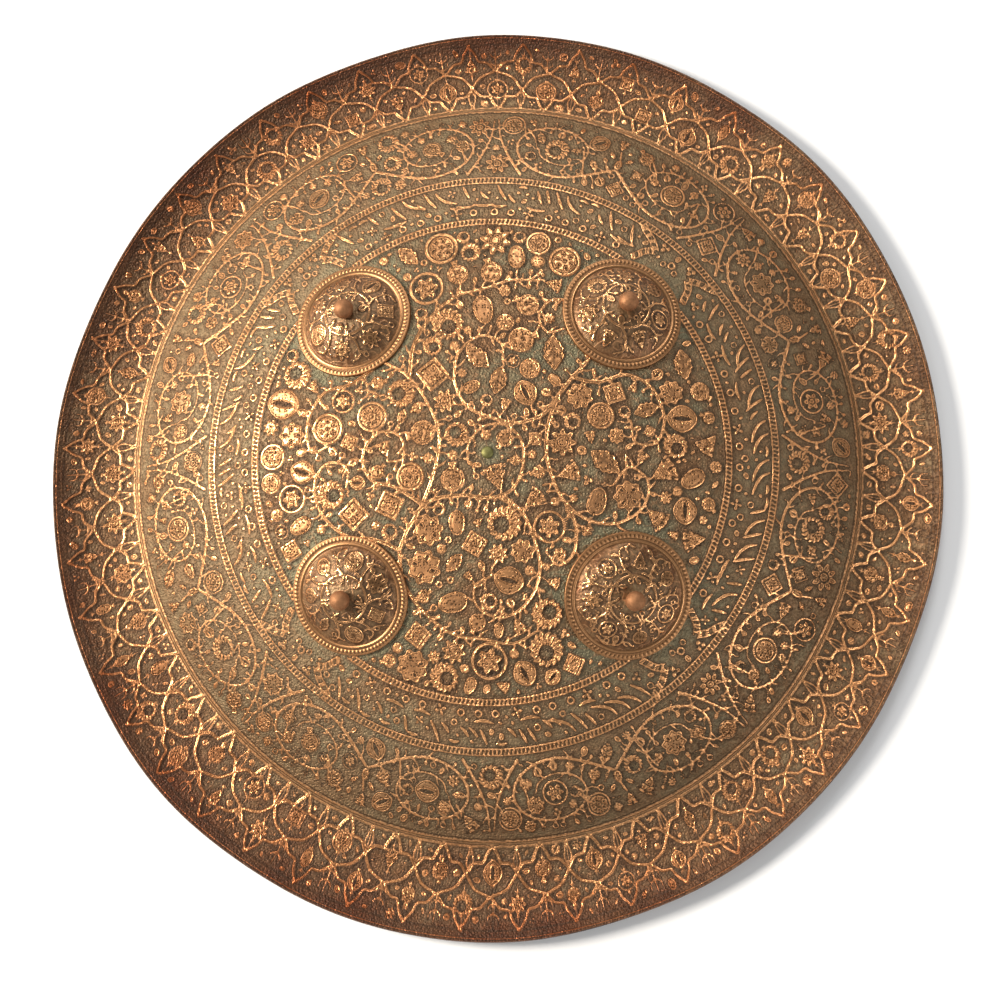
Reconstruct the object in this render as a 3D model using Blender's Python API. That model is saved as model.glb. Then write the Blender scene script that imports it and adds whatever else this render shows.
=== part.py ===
"""Round copper shield: one raised and chased sheet, four riveted bosses and a centre rivet.

The shield lies face up. Metres, +Z out of the face, +Y towards its upper edge. The origin is
the middle of the outline, on the plane that the ring under the rim rests on.
"""

import math

import bpy
import numpy as np
from mathutils import Matrix, Vector
from mathutils.geometry import delaunay_2d_cdt

# Sheet: outline and section, measured on the front face
RIM_RADIUS = 0.2250
CREASE_RADIUS = 0.1830
DOME_RISE = 0.0660
REST_RING_STEP = 0.0155
REST_RING_WIDTH = 0.0040
RIM_CURVE_RADIUS = 0.0500
SHEET_THICKNESS = 0.0012
DOME_SHIFT = (0.0010, 0.0045)
OUT_OF_ROUND = 0.0016
OUT_OF_ROUND_ANGLE = math.radians(53)
HAMMER_WAVE = 0.0004
LENGTHWAYS_OVAL = 0.010

# Bosses: a hollow turned cap on a flange, seated on the dome
BOSS_RING_RADIUS = 0.0938
BOSS_ANGLES = {"upper_left": 135.5, "upper_right": 47.0, "lower_left": 224.7, "lower_right": 315.5}
BOSS_RADIUS = 0.0290
LARGE_BOSS_RADIUS = 0.0308
LARGE_BOSS = "lower_right"
BOSS_FLANGE_WIDTH = 0.0052
BOSS_FLANGE_THICKNESS = 0.0011
BOSS_HEIGHT = 0.0098
BOSS_WALL = 0.0010
BOSS_ROPE_HEIGHT = 0.0006

# Rivets
KNOB_RADIUS = 0.0048
KNOB_SEAT_SHARE = 0.70
KNOB_SHANK_RADIUS = 0.0025
KNOB_TAIL_RADIUS = 0.0044
KNOB_TAIL_THICKNESS = 0.0015
CENTRE_HEAD_RADIUS = 0.0029
CENTRE_HEAD_HEIGHT = 0.0013
CENTRE_SHANK_RADIUS = 0.0014
CENTRE_TAIL_RADIUS = 0.0026
CENTRE_TAIL_THICKNESS = 0.0009

# Clearances
SEAT_GAP = 0.0003
HOLE_CLEARANCE = 0.0003

# Ornament heights and widths
STRAP_HALF_WIDTH = 0.0014
STRAP_HEIGHT = 0.0010
LINE_HALF_WIDTH = 0.0020
LINE_HEIGHT = 0.0007
STEM_HALF_WIDTH = 0.0012
STEM_HEIGHT = 0.0008
STROKE_HALF_WIDTH = 0.0013
STROKE_HEIGHT = 0.0006
FLOWER_HEIGHT = 0.0009
RELIEF_MARGIN = 0.0030

# Ornament layout
STRAP_REPEATS = 48
SCROLL_COUNT = 16
STROKES_PER_PANEL = 7
PANEL_SPAN = math.radians(52)
OUTER_LINE_RADIUS = 0.1388
INNER_LINE_RADIUS = 0.1154

# Mesh fineness
LIP_SEGMENTS = 64
LINE_SEGMENTS = 48
HOLE_SEGMENTS = 8
BOSS_SEGMENTS = 16
RIVET_SEGMENTS = 8
SCROLL_STEPS = 7
FRONT_SPACING = 0.0300
BACK_SPACING = 0.0240
BACK_RIM_SPACING = 0.0080
BACK_SEGMENTS = 40

TAU = 2 * math.pi
DOME_RADIUS = (CREASE_RADIUS ** 2 + DOME_RISE ** 2) / (2 * DOME_RISE)
REST_RING_RADIUS = CREASE_RADIUS + REST_RING_STEP


def rim_height(radius):
    """Height of the front face over the resting plane, on the dished rim."""
    return SHEET_THICKNESS + (radius - REST_RING_RADIUS) ** 2 / (2 * RIM_CURVE_RADIUS)


def sheet_height(radius):
    """Height of the front face over the resting plane, by the plain round radius."""
    inside = np.minimum(radius, CREASE_RADIUS)
    flat = math.sqrt(DOME_RADIUS ** 2 - CREASE_RADIUS ** 2)
    dome = rim_height(CREASE_RADIUS) + np.sqrt(DOME_RADIUS ** 2 - inside ** 2) - flat
    return np.where(radius <= CREASE_RADIUS, dome, rim_height(radius))


def surface(flat):
    """Carry points of the plain round layout, (n, 2), to the front face, (n, 3)."""
    radius = np.hypot(flat[:, 0], flat[:, 1])
    angle = np.arctan2(flat[:, 1], flat[:, 0])
    beyond = np.clip((radius - CREASE_RADIUS) / (RIM_RADIUS - CREASE_RADIUS), 0, None)
    wave = OUT_OF_ROUND * np.cos(2 * (angle - OUT_OF_ROUND_ANGLE))
    wave = wave + HAMMER_WAVE * (np.cos(8 * angle + 0.6) + 0.6 * np.cos(14 * angle + 2.0))
    stretched = radius + beyond * wave
    x = stretched * np.cos(angle) * (1 - LENGTHWAYS_OVAL) + DOME_SHIFT[0] * (1 - beyond)
    y = stretched * np.sin(angle) * (1 + LENGTHWAYS_OVAL) + DOME_SHIFT[1] * (1 - beyond)
    return np.stack([x, y, sheet_height(radius)], axis=1)


def surface_normals(flat, step=2e-5):
    """Unit normals of the front face at points of the layout."""
    across = surface(flat + [step, 0]) - surface(flat - [step, 0])
    along = surface(flat + [0, step]) - surface(flat - [0, step])
    normals = np.cross(across, along)
    return normals / np.linalg.norm(normals, axis=1, keepdims=True)


def polar(radius, angle):
    return np.array([radius * math.cos(angle), radius * math.sin(angle)])


def circle(centre, radius, sides, start=0.0):
    return np.array([centre + polar(radius, start + TAU * k / sides) for k in range(sides)])


def seat_frame(flat_point):
    """Frame standing on the dome at a layout point, its Z along the surface normal."""
    place = np.array([flat_point])
    normal = Vector(surface_normals(place)[0])
    side = Vector((0, 1, 0)).cross(normal).normalized()
    up = normal.cross(side)
    rotation = Matrix((side, up, normal)).transposed().to_4x4()
    return Matrix.Translation(Vector(surface(place)[0])) @ rotation


def boss_radius(name):
    return LARGE_BOSS_RADIUS if name == LARGE_BOSS else BOSS_RADIUS


def boss_centre(name):
    return polar(BOSS_RING_RADIUS, math.radians(BOSS_ANGLES[name]))


class Ridge:
    """A raised line with a sharp crest; its width and height die out at the ends of an open one."""

    def __init__(self, route, half_width, height, closed=False, crossings=()):
        self.route = np.array(route, dtype=float)
        self.closed = closed
        count = len(self.route)
        self.widths = np.full(count, half_width)
        self.heights = np.full(count, height)
        if not closed:
            self.widths[[0, -1]] = 0
            self.heights[[0, -1]] = 0
        self.bare = set(crossings)

    def sides(self):
        """The two foot lines, each with the end points of an open ridge."""
        before = np.roll(self.route, 1, axis=0)
        after = np.roll(self.route, -1, axis=0)
        if not self.closed:
            before[0] = self.route[0]
            after[-1] = self.route[-1]
        along = after - before
        along = along / np.linalg.norm(along, axis=1, keepdims=True)
        out = np.stack([-along[:, 1], along[:, 0]], axis=1) * self.widths[:, None]
        kept = [k for k in range(len(self.route)) if k not in self.bare]
        return (self.route + out)[kept], (self.route - out)[kept]

    def lines(self):
        left, right = self.sides()
        return [(line, self.closed) for line in (self.route, left, right)]

    def lift(self, points):
        """Height of this ridge over each point."""
        ends = np.roll(self.route, -1, axis=0)
        total = len(self.route) if self.closed else len(self.route) - 1
        best = np.zeros(len(points))
        for k in range(total):
            other = (k + 1) % len(self.route)
            run = ends[k] - self.route[k]
            share = np.clip((points - self.route[k]) @ run / (run @ run), 0, 1)
            away = np.linalg.norm(points - self.route[k] - share[:, None] * run, axis=1)
            width = self.widths[k] + share * (self.widths[other] - self.widths[k])
            height = self.heights[k] + share * (self.heights[other] - self.heights[k])
            best = np.maximum(best, height * np.clip(1 - away / np.maximum(width, 1e-9), 0, 1))
        return best


class Flower:
    """A low pointed rosette."""

    def __init__(self, centre, radius, sides, start=0.0, height=FLOWER_HEIGHT):
        self.centre = np.array(centre)
        self.radius = radius
        self.height = height
        self.rim = circle(self.centre, radius, sides, start)

    def lines(self):
        return [(self.rim, True), (self.centre[None, :], False)]

    def lift(self, points):
        away = np.linalg.norm(points - self.centre, axis=1)
        inner = self.radius * math.cos(math.pi / len(self.rim))
        return self.height * np.clip(1 - away / inner, 0, 1)


def clear_of_bosses(points, margin=RELIEF_MARGIN):
    """True for the points that no boss covers."""
    free = np.ones(len(points), dtype=bool)
    for name in BOSS_ANGLES:
        away = np.linalg.norm(points - boss_centre(name), axis=1)
        free &= away > boss_radius(name) + margin
    return free


def rim_point(turn, share):
    """A layout point on the rim: share 0 at the crease, 1 at the lip."""
    return polar(CREASE_RADIUS + share * (RIM_RADIUS - CREASE_RADIUS), turn)


def band_point(inner, outer, turn, share):
    return polar(inner + share * (outer - inner), turn)


def strapwork():
    """Interlaced ogee straps on the rim, and a flower in each cartouche of the inner row.

    A strap climbs from an inner tip over two crossings to an outer tip; each step gives the
    pitches round the rim and the share of the rim's width.
    """
    climb = ((0.0, 0.04), (0.20, 0.19), (0.5, 0.33), (1.0, 0.57), (1.30, 0.71), (1.5, 0.89))
    crossings = (2, 3, 7, 8)
    arch = [(-step, share) for step, share in reversed(climb[1:])] + list(climb)
    pitch = TAU / STRAP_REPEATS
    parts = []
    for k in range(STRAP_REPEATS):
        route = [rim_point((k + step) * pitch, share) for step, share in arch]
        parts.append(Ridge(route, STRAP_HALF_WIDTH, STRAP_HEIGHT, crossings=crossings))
        centre = rim_point(k * pitch, 0.31)
        parts.append(Flower(centre, 0.10 * (RIM_RADIUS - CREASE_RADIUS), 4, k * pitch))
    return parts


def ring_lines():
    """The raised line on the crease, the outer beaded line, and the inner one between the bosses."""
    parts = []
    for radius in (CREASE_RADIUS - LINE_HALF_WIDTH, OUTER_LINE_RADIUS):
        route = circle(np.zeros(2), radius, LINE_SEGMENTS)
        parts.append(Ridge(route, LINE_HALF_WIDTH, LINE_HEIGHT, closed=True))
    angles = sorted(BOSS_ANGLES.values())
    for start, end in zip(angles, angles[1:] + [angles[0] + 360]):
        turns = np.radians(np.linspace(start, end, 20))
        route = np.array([polar(INNER_LINE_RADIUS, turn) for turn in turns])
        route = route[clear_of_bosses(route)]
        parts.append(Ridge(route, LINE_HALF_WIDTH, LINE_HEIGHT))
    return parts


def scroll_band():
    """Mirrored pairs of spiral scrolls between the outer beaded line and the crease."""
    inner = OUTER_LINE_RADIUS + 1.4 * LINE_HALF_WIDTH
    outer = CREASE_RADIUS - 3 * LINE_HALF_WIDTH
    middle = (inner + outer) / 2
    pitch = TAU / SCROLL_COUNT
    reach = 0.46 * (outer - inner)
    parts = []
    for k in range(SCROLL_COUNT):
        hand = 1 if k % 2 else -1
        turn = (k + 0.5) * pitch
        spiral = []
        for step in range(SCROLL_STEPS):
            wound = step / (SCROLL_STEPS - 1)
            bend = math.radians(205 - 415 * wound)
            shrink = 1 - 0.6 * wound
            swing = hand * 1.25 * reach * shrink * math.cos(bend) / middle
            spiral.append(polar(middle + reach * shrink * math.sin(bend), turn + swing))
        foot = band_point(inner, outer, turn - hand * 0.47 * pitch, 0.05)
        parts.append(Ridge([foot] + spiral, STEM_HALF_WIDTH, STEM_HEIGHT))
        parts.append(Flower(polar(middle, turn), 0.22 * (outer - inner), 6, turn))
        corner = band_point(inner, outer, turn + hand * 0.44 * pitch, 0.80 if hand > 0 else 0.62)
        parts.append(Flower(corner, 0.12 * (outer - inner), 5, turn))
    return parts


def inscription_band():
    """Slanting strokes, none of them letters, in the four panels between the beaded lines."""
    inner = INNER_LINE_RADIUS + LINE_HALF_WIDTH
    outer = OUTER_LINE_RADIUS - LINE_HALF_WIDTH
    slant = 0.35 * (outer - inner) / outer
    parts = []
    for panel in range(4):
        for k in range(STROKES_PER_PANEL):
            turn = panel * TAU / 4 + ((k + 0.5) / STROKES_PER_PANEL - 0.5) * PANEL_SPAN
            low, high = (0.22, 0.80) if k % 2 else (0.34, 0.88)
            steps = ((-0.5, high), (0.2, (low + high) / 2 - 0.08), (1.4, low))
            route = [band_point(inner, outer, turn + slant * sway, share) for sway, share in steps]
            parts.append(Ridge(route, STROKE_HALF_WIDTH, STROKE_HEIGHT))
    return parts


def medallion():
    """Curling stems between the bosses with a flower in each curl, round the centre rivet."""
    field = INNER_LINE_RADIUS - LINE_HALF_WIDTH
    shares = (0.12, 0.24, 0.38, 0.52, 0.66, 0.80, 0.93)
    sways = (-0.5, 0.35, 0.28, -0.08, -0.17, 0.0, 0.24)
    parts = []
    for quarter in range(4):
        turn = math.radians(90 * quarter + 4)
        main = [polar(share * field, turn + sway) for share, sway in zip(shares, sways)]
        parts.append(Ridge(main, STEM_HALF_WIDTH, STEM_HEIGHT))
        for side in (-1, 1):
            eye = polar(0.66 * field, turn + side * 0.36 + 0.05)
            curl = []
            for step in range(5):
                reach = (0.165 - 0.014 * step) * field
                curl.append(eye + polar(reach, turn + math.pi - side * (0.4 + 0.95 * step)))
            parts.append(Ridge(curl, STEM_HALF_WIDTH, STEM_HEIGHT))
            parts.append(Flower(eye, 0.075 * field, 6, turn))
            parts.append(Flower(polar(0.86 * field, turn + side * 0.20), 0.065 * field, 5, turn))
        parts.append(Flower(polar(0.40 * field, turn + math.pi / 4 + 0.1), 0.085 * field, 6, turn))
        parts.append(Flower(polar(0.22 * field, turn - 0.35), 0.055 * field, 5, turn))
    return parts


def relief():
    parts = strapwork() + ring_lines() + scroll_band() + inscription_band() + medallion()
    kept = []
    for part in parts:
        points = np.concatenate([line for line, _ in part.lines()])
        if clear_of_bosses(points, SEAT_GAP + STRAP_HALF_WIDTH).all():
            kept.append(part)
    return kept


def filling_rings(spacing, reach):
    """Rings of points that carry the curve of the sheet between other features."""
    points = [np.zeros(2)]
    for radius in np.linspace(0, reach, max(2, round(reach / spacing)) + 1)[1:]:
        points.extend(circle(np.zeros(2), radius, max(6, round(TAU * radius / spacing)), radius * 40))
    return np.array(points)


class Layout:
    """Points and lines of the flat layout, ready to be triangulated."""

    def __init__(self):
        self.points = []
        self.edges = []

    def add(self, line, closed):
        first = len(self.points)
        self.points.extend(Vector(point) for point in line)
        last = len(self.points) - 1
        self.edges.extend((k, k + 1) for k in range(first, last))
        if closed:
            self.edges.append((last, first))

    def add_loose(self, points):
        self.points.extend(Vector(point) for point in points)

    def triangles(self):
        """Triangulated layout: points (n, 2) and faces wound left about."""
        result = delaunay_2d_cdt(self.points, self.edges, [], 0, 1e-5)
        points = np.array([tuple(point) for point in result[0]])
        faces = []
        for face in result[2]:
            a, b, c = (points[k] for k in face)
            left_about = (b[0] - a[0]) * (c[1] - a[1]) - (b[1] - a[1]) * (c[0] - a[0]) > 0
            faces.append(tuple(face) if left_about else tuple(reversed(face)))
        return points, faces


def hole_places():
    """Layout centre of each rivet hole, with its radius and that of the tail that bears on it."""
    widen = 1 / math.cos(math.pi / HOLE_SEGMENTS)
    knob_hole = (KNOB_SHANK_RADIUS + HOLE_CLEARANCE) * widen
    centre_hole = (CENTRE_SHANK_RADIUS + HOLE_CLEARANCE) * widen
    places = [(boss_centre(name), knob_hole, KNOB_TAIL_RADIUS) for name in BOSS_ANGLES]
    return places + [(np.zeros(2), centre_hole, CENTRE_TAIL_RADIUS)]


def ring_on_dome(centre, radius, sides):
    """Layout points of a true circle lying on the dome about the normal at a layout point."""
    frame = seat_frame(centre)
    points = []
    for k in range(sides):
        world = frame @ Vector((*polar(radius, TAU * k / sides), 0))
        x = (world.x - DOME_SHIFT[0]) / (1 - LENGTHWAYS_OVAL)
        y = (world.y - DOME_SHIFT[1]) / (1 + LENGTHWAYS_OVAL)
        points.append((x, y))
    return np.array(points)


def add_holes(layout, tail_seats):
    """Rivet holes; tail_seats adds the ring that keeps the dome true under each tail."""
    for centre, radius, tail in hole_places():
        layout.add(ring_on_dome(centre, radius, HOLE_SEGMENTS), True)
        if tail_seats:
            layout.add(ring_on_dome(centre, tail + 2 * SEAT_GAP, HOLE_SEGMENTS), True)


def away_from_holes(points):
    free = np.ones(len(points), dtype=bool)
    for centre, _, tail in hole_places():
        free &= np.linalg.norm(points - centre, axis=1) > tail + RELIEF_MARGIN
    return free


def drop_hole_faces(points, faces):
    kept = []
    for face in faces:
        middle = points[list(face)].mean(axis=0)
        if all(np.linalg.norm(middle - centre) > 0.93 * radius for centre, radius, _ in hole_places()):
            kept.append(face)
    return kept


def front_face(parts):
    """Front face of the sheet with its relief: layout points, positions and faces."""
    layout = Layout()
    layout.add(circle(np.zeros(2), RIM_RADIUS, LIP_SEGMENTS), True)
    add_holes(layout, tail_seats=False)
    for part in parts:
        for line, closed in part.lines():
            layout.add(line, closed)
    for name in BOSS_ANGLES:
        under_flange = boss_radius(name) - BOSS_FLANGE_WIDTH / 2
        layout.add_loose(ring_on_dome(boss_centre(name), under_flange, LINE_SEGMENTS // 4))
    filling = filling_rings(FRONT_SPACING, CREASE_RADIUS - 2 * LINE_HALF_WIDTH)
    feet = np.concatenate([line for part in parts for line, _ in part.lines()])
    nearest = np.array([np.linalg.norm(feet - point, axis=1).min() for point in filling])
    filling = filling[nearest > RELIEF_MARGIN]
    layout.add_loose(filling[away_from_holes(filling)])
    points, faces = layout.triangles()
    faces = drop_hole_faces(points, faces)
    lift = np.zeros(len(points))
    for part in parts:
        lift = np.maximum(lift, part.lift(points))
    places = surface(points) + lift[:, None] * surface_normals(points)
    return points, places, faces


def rim_steps(start, end):
    """Radii from one edge to another, close enough to carry the rim's curve."""
    return np.linspace(start, end, 1 + max(1, round(abs(end - start) / BACK_RIM_SPACING)))


def back_face():
    """Plain back of the sheet, with the flat ring that the shield rests on."""
    layout = Layout()
    layout.add(circle(np.zeros(2), RIM_RADIUS, LIP_SEGMENTS), True)
    add_holes(layout, tail_seats=True)
    inner_edge = REST_RING_RADIUS - REST_RING_WIDTH / 2
    outer_edge = REST_RING_RADIUS + REST_RING_WIDTH / 2
    for radius in (*rim_steps(CREASE_RADIUS, inner_edge), *rim_steps(RIM_RADIUS, outer_edge)[1:]):
        layout.add(circle(np.zeros(2), radius, BACK_SEGMENTS), True)
    filling = filling_rings(BACK_SPACING, CREASE_RADIUS)
    filling = filling[np.hypot(filling[:, 0], filling[:, 1]) < CREASE_RADIUS - BACK_SPACING / 2]
    layout.add_loose(filling[away_from_holes(filling)])
    points, faces = layout.triangles()
    faces = drop_hole_faces(points, faces)
    places = surface(points) - SHEET_THICKNESS * surface_normals(points)
    radius = np.hypot(points[:, 0], points[:, 1])
    on_ring = (radius > inner_edge - SEAT_GAP) & (radius < outer_edge + SEAT_GAP)
    places[on_ring, 2] = 0
    return points, places, faces


def border_edges(faces):
    """Directed edges that only one face uses."""
    edges = {(face[k], face[(k + 1) % 3]) for face in faces for k in range(3)}
    return [edge for edge in edges if (edge[1], edge[0]) not in edges]


def nearest_index(points, place):
    return int(np.linalg.norm(points - place, axis=1).argmin())


def sheet_mesh():
    """Front and back joined along the lip and the rivet holes."""
    front_flat, front, front_faces = front_face(relief())
    back_flat, back, back_faces = back_face()
    under = len(front)
    faces = list(front_faces)
    faces += [tuple(under + k for k in reversed(face)) for face in back_faces]
    back_border = {k for edge in border_edges(back_faces) for k in edge}
    rows = sorted(back_border)
    match = {}
    for start, end in sorted(border_edges(front_faces)):
        for k in (start, end):
            if k not in match:
                match[k] = under + rows[nearest_index(back_flat[rows], front_flat[k])]
        faces.append((end, start, match[start]))
        faces.append((end, match[start], match[end]))
    return np.concatenate([front, back]), faces


def drop_unused(places, faces):
    used = sorted({k for face in faces for k in face})
    renumber = {old: new for new, old in enumerate(used)}
    return places[used], [tuple(renumber[k] for k in face) for face in faces]


def metal(name, color, roughness):
    """Plain metal with one colour."""
    material = bpy.data.materials.new(name)
    material.use_nodes = True
    shader = material.node_tree.nodes["Principled BSDF"]
    shader.inputs["Base Color"].default_value = (*color, 1)
    shader.inputs["Metallic"].default_value = 1.0
    shader.inputs["Roughness"].default_value = roughness
    material.diffuse_color = (*color, 1)
    return material


def add_object(name, places, faces, material, frame=None):
    mesh = bpy.data.meshes.new(name)
    mesh.from_pydata([tuple(place) for place in places], [], faces)
    mesh.materials.append(material)
    mesh.shade_smooth()
    mesh.set_sharp_from_angle(angle=math.radians(35))
    piece = bpy.data.objects.new(name, mesh)
    bpy.context.scene.collection.objects.link(piece)
    if frame is not None:
        piece.matrix_world = frame
    return piece


def turned(profile, segments):
    """Solid of revolution from (radius, height) points, listed from the top outside downwards.

    A profile whose first and last radius are 0 is solid on the axis; any other is a closed ring.
    """
    places = []
    rings = []
    for radius, height in profile:
        if radius == 0:
            rings.append([len(places)])
            places.append((0, 0, height))
        else:
            rings.append(list(range(len(places), len(places) + segments)))
            places.extend((*polar(radius, TAU * k / segments), height) for k in range(segments))
    faces = []
    pairs = list(zip(rings, rings[1:]))
    if profile[0][0] > 0:
        pairs.append((rings[-1], rings[0]))
    for upper, lower in pairs:
        for k in range(segments):
            n = (k + 1) % segments
            if len(upper) == 1:
                faces.append((upper[0], lower[k], lower[n]))
            elif len(lower) == 1:
                faces.append((upper[k], lower[0], upper[n]))
            else:
                faces.append((upper[k], lower[k], lower[n], upper[n]))
    return places, faces


def seat_drop(radius):
    """How far the dome falls away from its tangent plane at this distance."""
    return DOME_RADIUS - math.sqrt(DOME_RADIUS ** 2 - radius ** 2)


def cap_height(radius, base_radius, base_height, top):
    """Height of a round cap that has the given foot radius and foot height."""
    rise = top - base_height
    ball = (base_radius ** 2 + rise ** 2) / (2 * rise)
    return top - ball + math.sqrt(ball ** 2 - radius ** 2)


def boss_profile(radius):
    """Section of a boss: round cap, flange with a rope ridge, open underneath."""
    hole = KNOB_SHANK_RADIUS + HOLE_CLEARANCE
    foot = radius - BOSS_FLANGE_WIDTH
    seat = [SEAT_GAP - seat_drop(r) for r in (radius, foot - BOSS_WALL)]
    flange_top = SEAT_GAP - seat_drop(foot) + BOSS_FLANGE_THICKNESS
    edge_top = seat[0] + BOSS_FLANGE_THICKNESS

    def outside(r):
        return cap_height(r, foot, flange_top, BOSS_HEIGHT)

    def inside(r):
        return cap_height(r, foot - BOSS_WALL, seat[1], BOSS_HEIGHT - BOSS_WALL)

    rope = radius - BOSS_FLANGE_WIDTH * 0.35
    profile = [(r, outside(r)) for r in (hole, 0.35 * foot, 0.58 * foot, 0.80 * foot, foot)]
    profile += [(rope - BOSS_FLANGE_WIDTH * 0.25, flange_top - seat_drop(rope) + seat_drop(foot))]
    profile += [(rope, edge_top + BOSS_ROPE_HEIGHT), (radius, edge_top), (radius, seat[0])]
    profile += [(foot - BOSS_WALL, seat[1]), (0.62 * foot, inside(0.62 * foot)), (hole, inside(hole))]
    return profile


def rivet_profile(head, shank, tail_radius, tail_thickness):
    """Section of a rivet: head points down to its seat, shank, and peened tail with a flat end."""
    under = -(SHEET_THICKNESS + SEAT_GAP)
    end = under - tail_thickness
    tail = [(tail_radius, under), (0.8 * tail_radius, end), (0, end)]
    return head + [(shank, head[-1][1]), (shank, under)] + tail


def knob_head():
    """Ball whose foot is cut flat where it sits on the boss."""
    seat = BOSS_HEIGHT + SEAT_GAP
    centre = seat + KNOB_SEAT_SHARE * KNOB_RADIUS
    last = math.acos(-KNOB_SEAT_SHARE)
    bends = [last * k / 4 for k in range(5)]
    head = [(KNOB_RADIUS * math.sin(bend), centre + KNOB_RADIUS * math.cos(bend)) for bend in bends]
    head[0] = (0, centre + KNOB_RADIUS)
    return head


def centre_head():
    """Low round head."""
    top = SEAT_GAP + CENTRE_HEAD_HEIGHT
    shares = (0.0, 0.55, 0.9, 1.0)
    drops = (0.0, 0.18, 0.55, 1.0)
    return [(CENTRE_HEAD_RADIUS * r, top - CENTRE_HEAD_HEIGHT * d) for r, d in zip(shares, drops)]


def build():
    copper = metal("worn_copper", (0.36, 0.19, 0.11), 0.42)
    boss_copper = metal("dark_boss_copper", (0.30, 0.15, 0.09), 0.36)
    knob_copper = metal("knob_copper", (0.42, 0.20, 0.11), 0.32)
    brass = metal("green_brass", (0.36, 0.33, 0.10), 0.40)
    places, faces = drop_unused(*sheet_mesh())
    add_object("shield_body", places, faces, copper)
    knob = rivet_profile(knob_head(), KNOB_SHANK_RADIUS, KNOB_TAIL_RADIUS, KNOB_TAIL_THICKNESS)
    for name in BOSS_ANGLES:
        frame = seat_frame(boss_centre(name))
        cap = turned(boss_profile(boss_radius(name)), BOSS_SEGMENTS)
        add_object("boss_" + name, *cap, boss_copper, frame)
        add_object("knob_rivet_" + name, *turned(knob, RIVET_SEGMENTS), knob_copper, frame)
    small = rivet_profile(centre_head(), CENTRE_SHANK_RADIUS, CENTRE_TAIL_RADIUS, CENTRE_TAIL_THICKNESS)
    add_object("centre_rivet", *turned(small, RIVET_SEGMENTS), brass, seat_frame(np.zeros(2)))


for old in list(bpy.data.objects):
    bpy.data.objects.remove(old, do_unlink=True)
build()
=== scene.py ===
"""Round chased copper shield: the relief, patina and wear of every surface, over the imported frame."""

import math

import bpy
import numpy as np
from bpy.props import FloatProperty, FloatVectorProperty, IntProperty, PointerProperty
from bpy.types import Operator, Panel, PropertyGroup
from mathutils import Matrix, Vector


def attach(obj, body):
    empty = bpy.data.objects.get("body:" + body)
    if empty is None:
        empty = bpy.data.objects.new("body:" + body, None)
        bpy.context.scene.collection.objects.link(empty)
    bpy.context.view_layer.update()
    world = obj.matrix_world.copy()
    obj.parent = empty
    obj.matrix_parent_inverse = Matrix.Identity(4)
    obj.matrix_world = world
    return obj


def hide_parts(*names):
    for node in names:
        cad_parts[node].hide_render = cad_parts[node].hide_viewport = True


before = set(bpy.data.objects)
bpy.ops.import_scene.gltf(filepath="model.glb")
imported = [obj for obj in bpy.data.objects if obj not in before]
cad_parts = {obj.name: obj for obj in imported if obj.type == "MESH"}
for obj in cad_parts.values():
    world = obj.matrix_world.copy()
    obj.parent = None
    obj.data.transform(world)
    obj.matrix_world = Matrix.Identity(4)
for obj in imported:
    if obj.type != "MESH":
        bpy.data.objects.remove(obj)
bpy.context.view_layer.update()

bl_info = {
    "name": "Chased Copper Shield",
    "version": (1, 0, 0),
    "blender": (4, 5, 0),
    "location": "View3D > Sidebar > Shield",
    "description": "Builds the chased sheet, bosses and rivets of a round copper shield",
    "category": "Object",
}

TAU = 2 * math.pi

# Form of the sheet, the same sizes as the solids, in metres
RIM_RADIUS = 0.2250
CREASE_RADIUS = 0.1830
DOME_RISE = 0.0660
REST_RING_STEP = 0.0155
REST_RING_WIDTH = 0.0040
RIM_CURVE_RADIUS = 0.0500
SHEET_THICKNESS = 0.0012
DOME_SHIFT = (0.0010, 0.0045)
OUT_OF_ROUND = 0.0016
OUT_OF_ROUND_ANGLE = math.radians(53)
HAMMER_WAVE = 0.0004
LENGTHWAYS_OVAL = 0.010
LIP_TRIM = 0.0003

# Bosses and rivets, the same sizes as the solids
BOSS_RING_RADIUS = 0.0938
BOSS_ANGLES = {"upper_left": 135.5, "upper_right": 47.0, "lower_left": 224.7, "lower_right": 315.5}
BOSS_RADIUS = 0.0290
LARGE_BOSS_RADIUS = 0.0308
LARGE_BOSS = "lower_right"
BOSS_FLANGE_WIDTH = 0.0052
BOSS_FLANGE_THICKNESS = 0.0011
BOSS_HEIGHT = 0.0098
BOSS_WALL = 0.0010
KNOB_RADIUS = 0.0048
KNOB_SEAT_SHARE = 0.70
KNOB_SHANK_RADIUS = 0.0025
KNOB_TAIL_RADIUS = 0.0044
KNOB_TAIL_THICKNESS = 0.0015
CENTRE_HEAD_RADIUS = 0.0029
CENTRE_HEAD_HEIGHT = 0.0013
CENTRE_SHANK_RADIUS = 0.0014
CENTRE_TAIL_RADIUS = 0.0026
CENTRE_TAIL_THICKNESS = 0.0009
SEAT_GAP = 0.0003
BOSS_FLOWERS = 7

# Zones of the chased face, by the radius where each begins
CENTRE_EDGE = 0.1128
INSCRIPTION_EDGE = 0.1411
SCROLL_EDGE = 0.1805
CREASE_EDGE = 0.1864
STRAP_EDGE = 0.2208
OUTER_LINE_RADIUS = 0.1388
INNER_LINE_RADIUS = 0.1154

# The scroll band between its border lines, and the kinds of flower in the hearts of its scrolls
SCROLL_INNER = OUTER_LINE_RADIUS + 0.0034
SCROLL_OUTER = SCROLL_EDGE - 0.0010
SCROLL_MIDDLE = (SCROLL_INNER + SCROLL_OUTER) / 2
SCROLL_REACH = 0.46 * (SCROLL_OUTER - SCROLL_INNER)
SCROLL_HEARTS = (3, 7, 1, 4, 5, 8)

DOME_RADIUS = (CREASE_RADIUS ** 2 + DOME_RISE ** 2) / (2 * DOME_RISE)
REST_RING_RADIUS = CREASE_RADIUS + REST_RING_STEP

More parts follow.
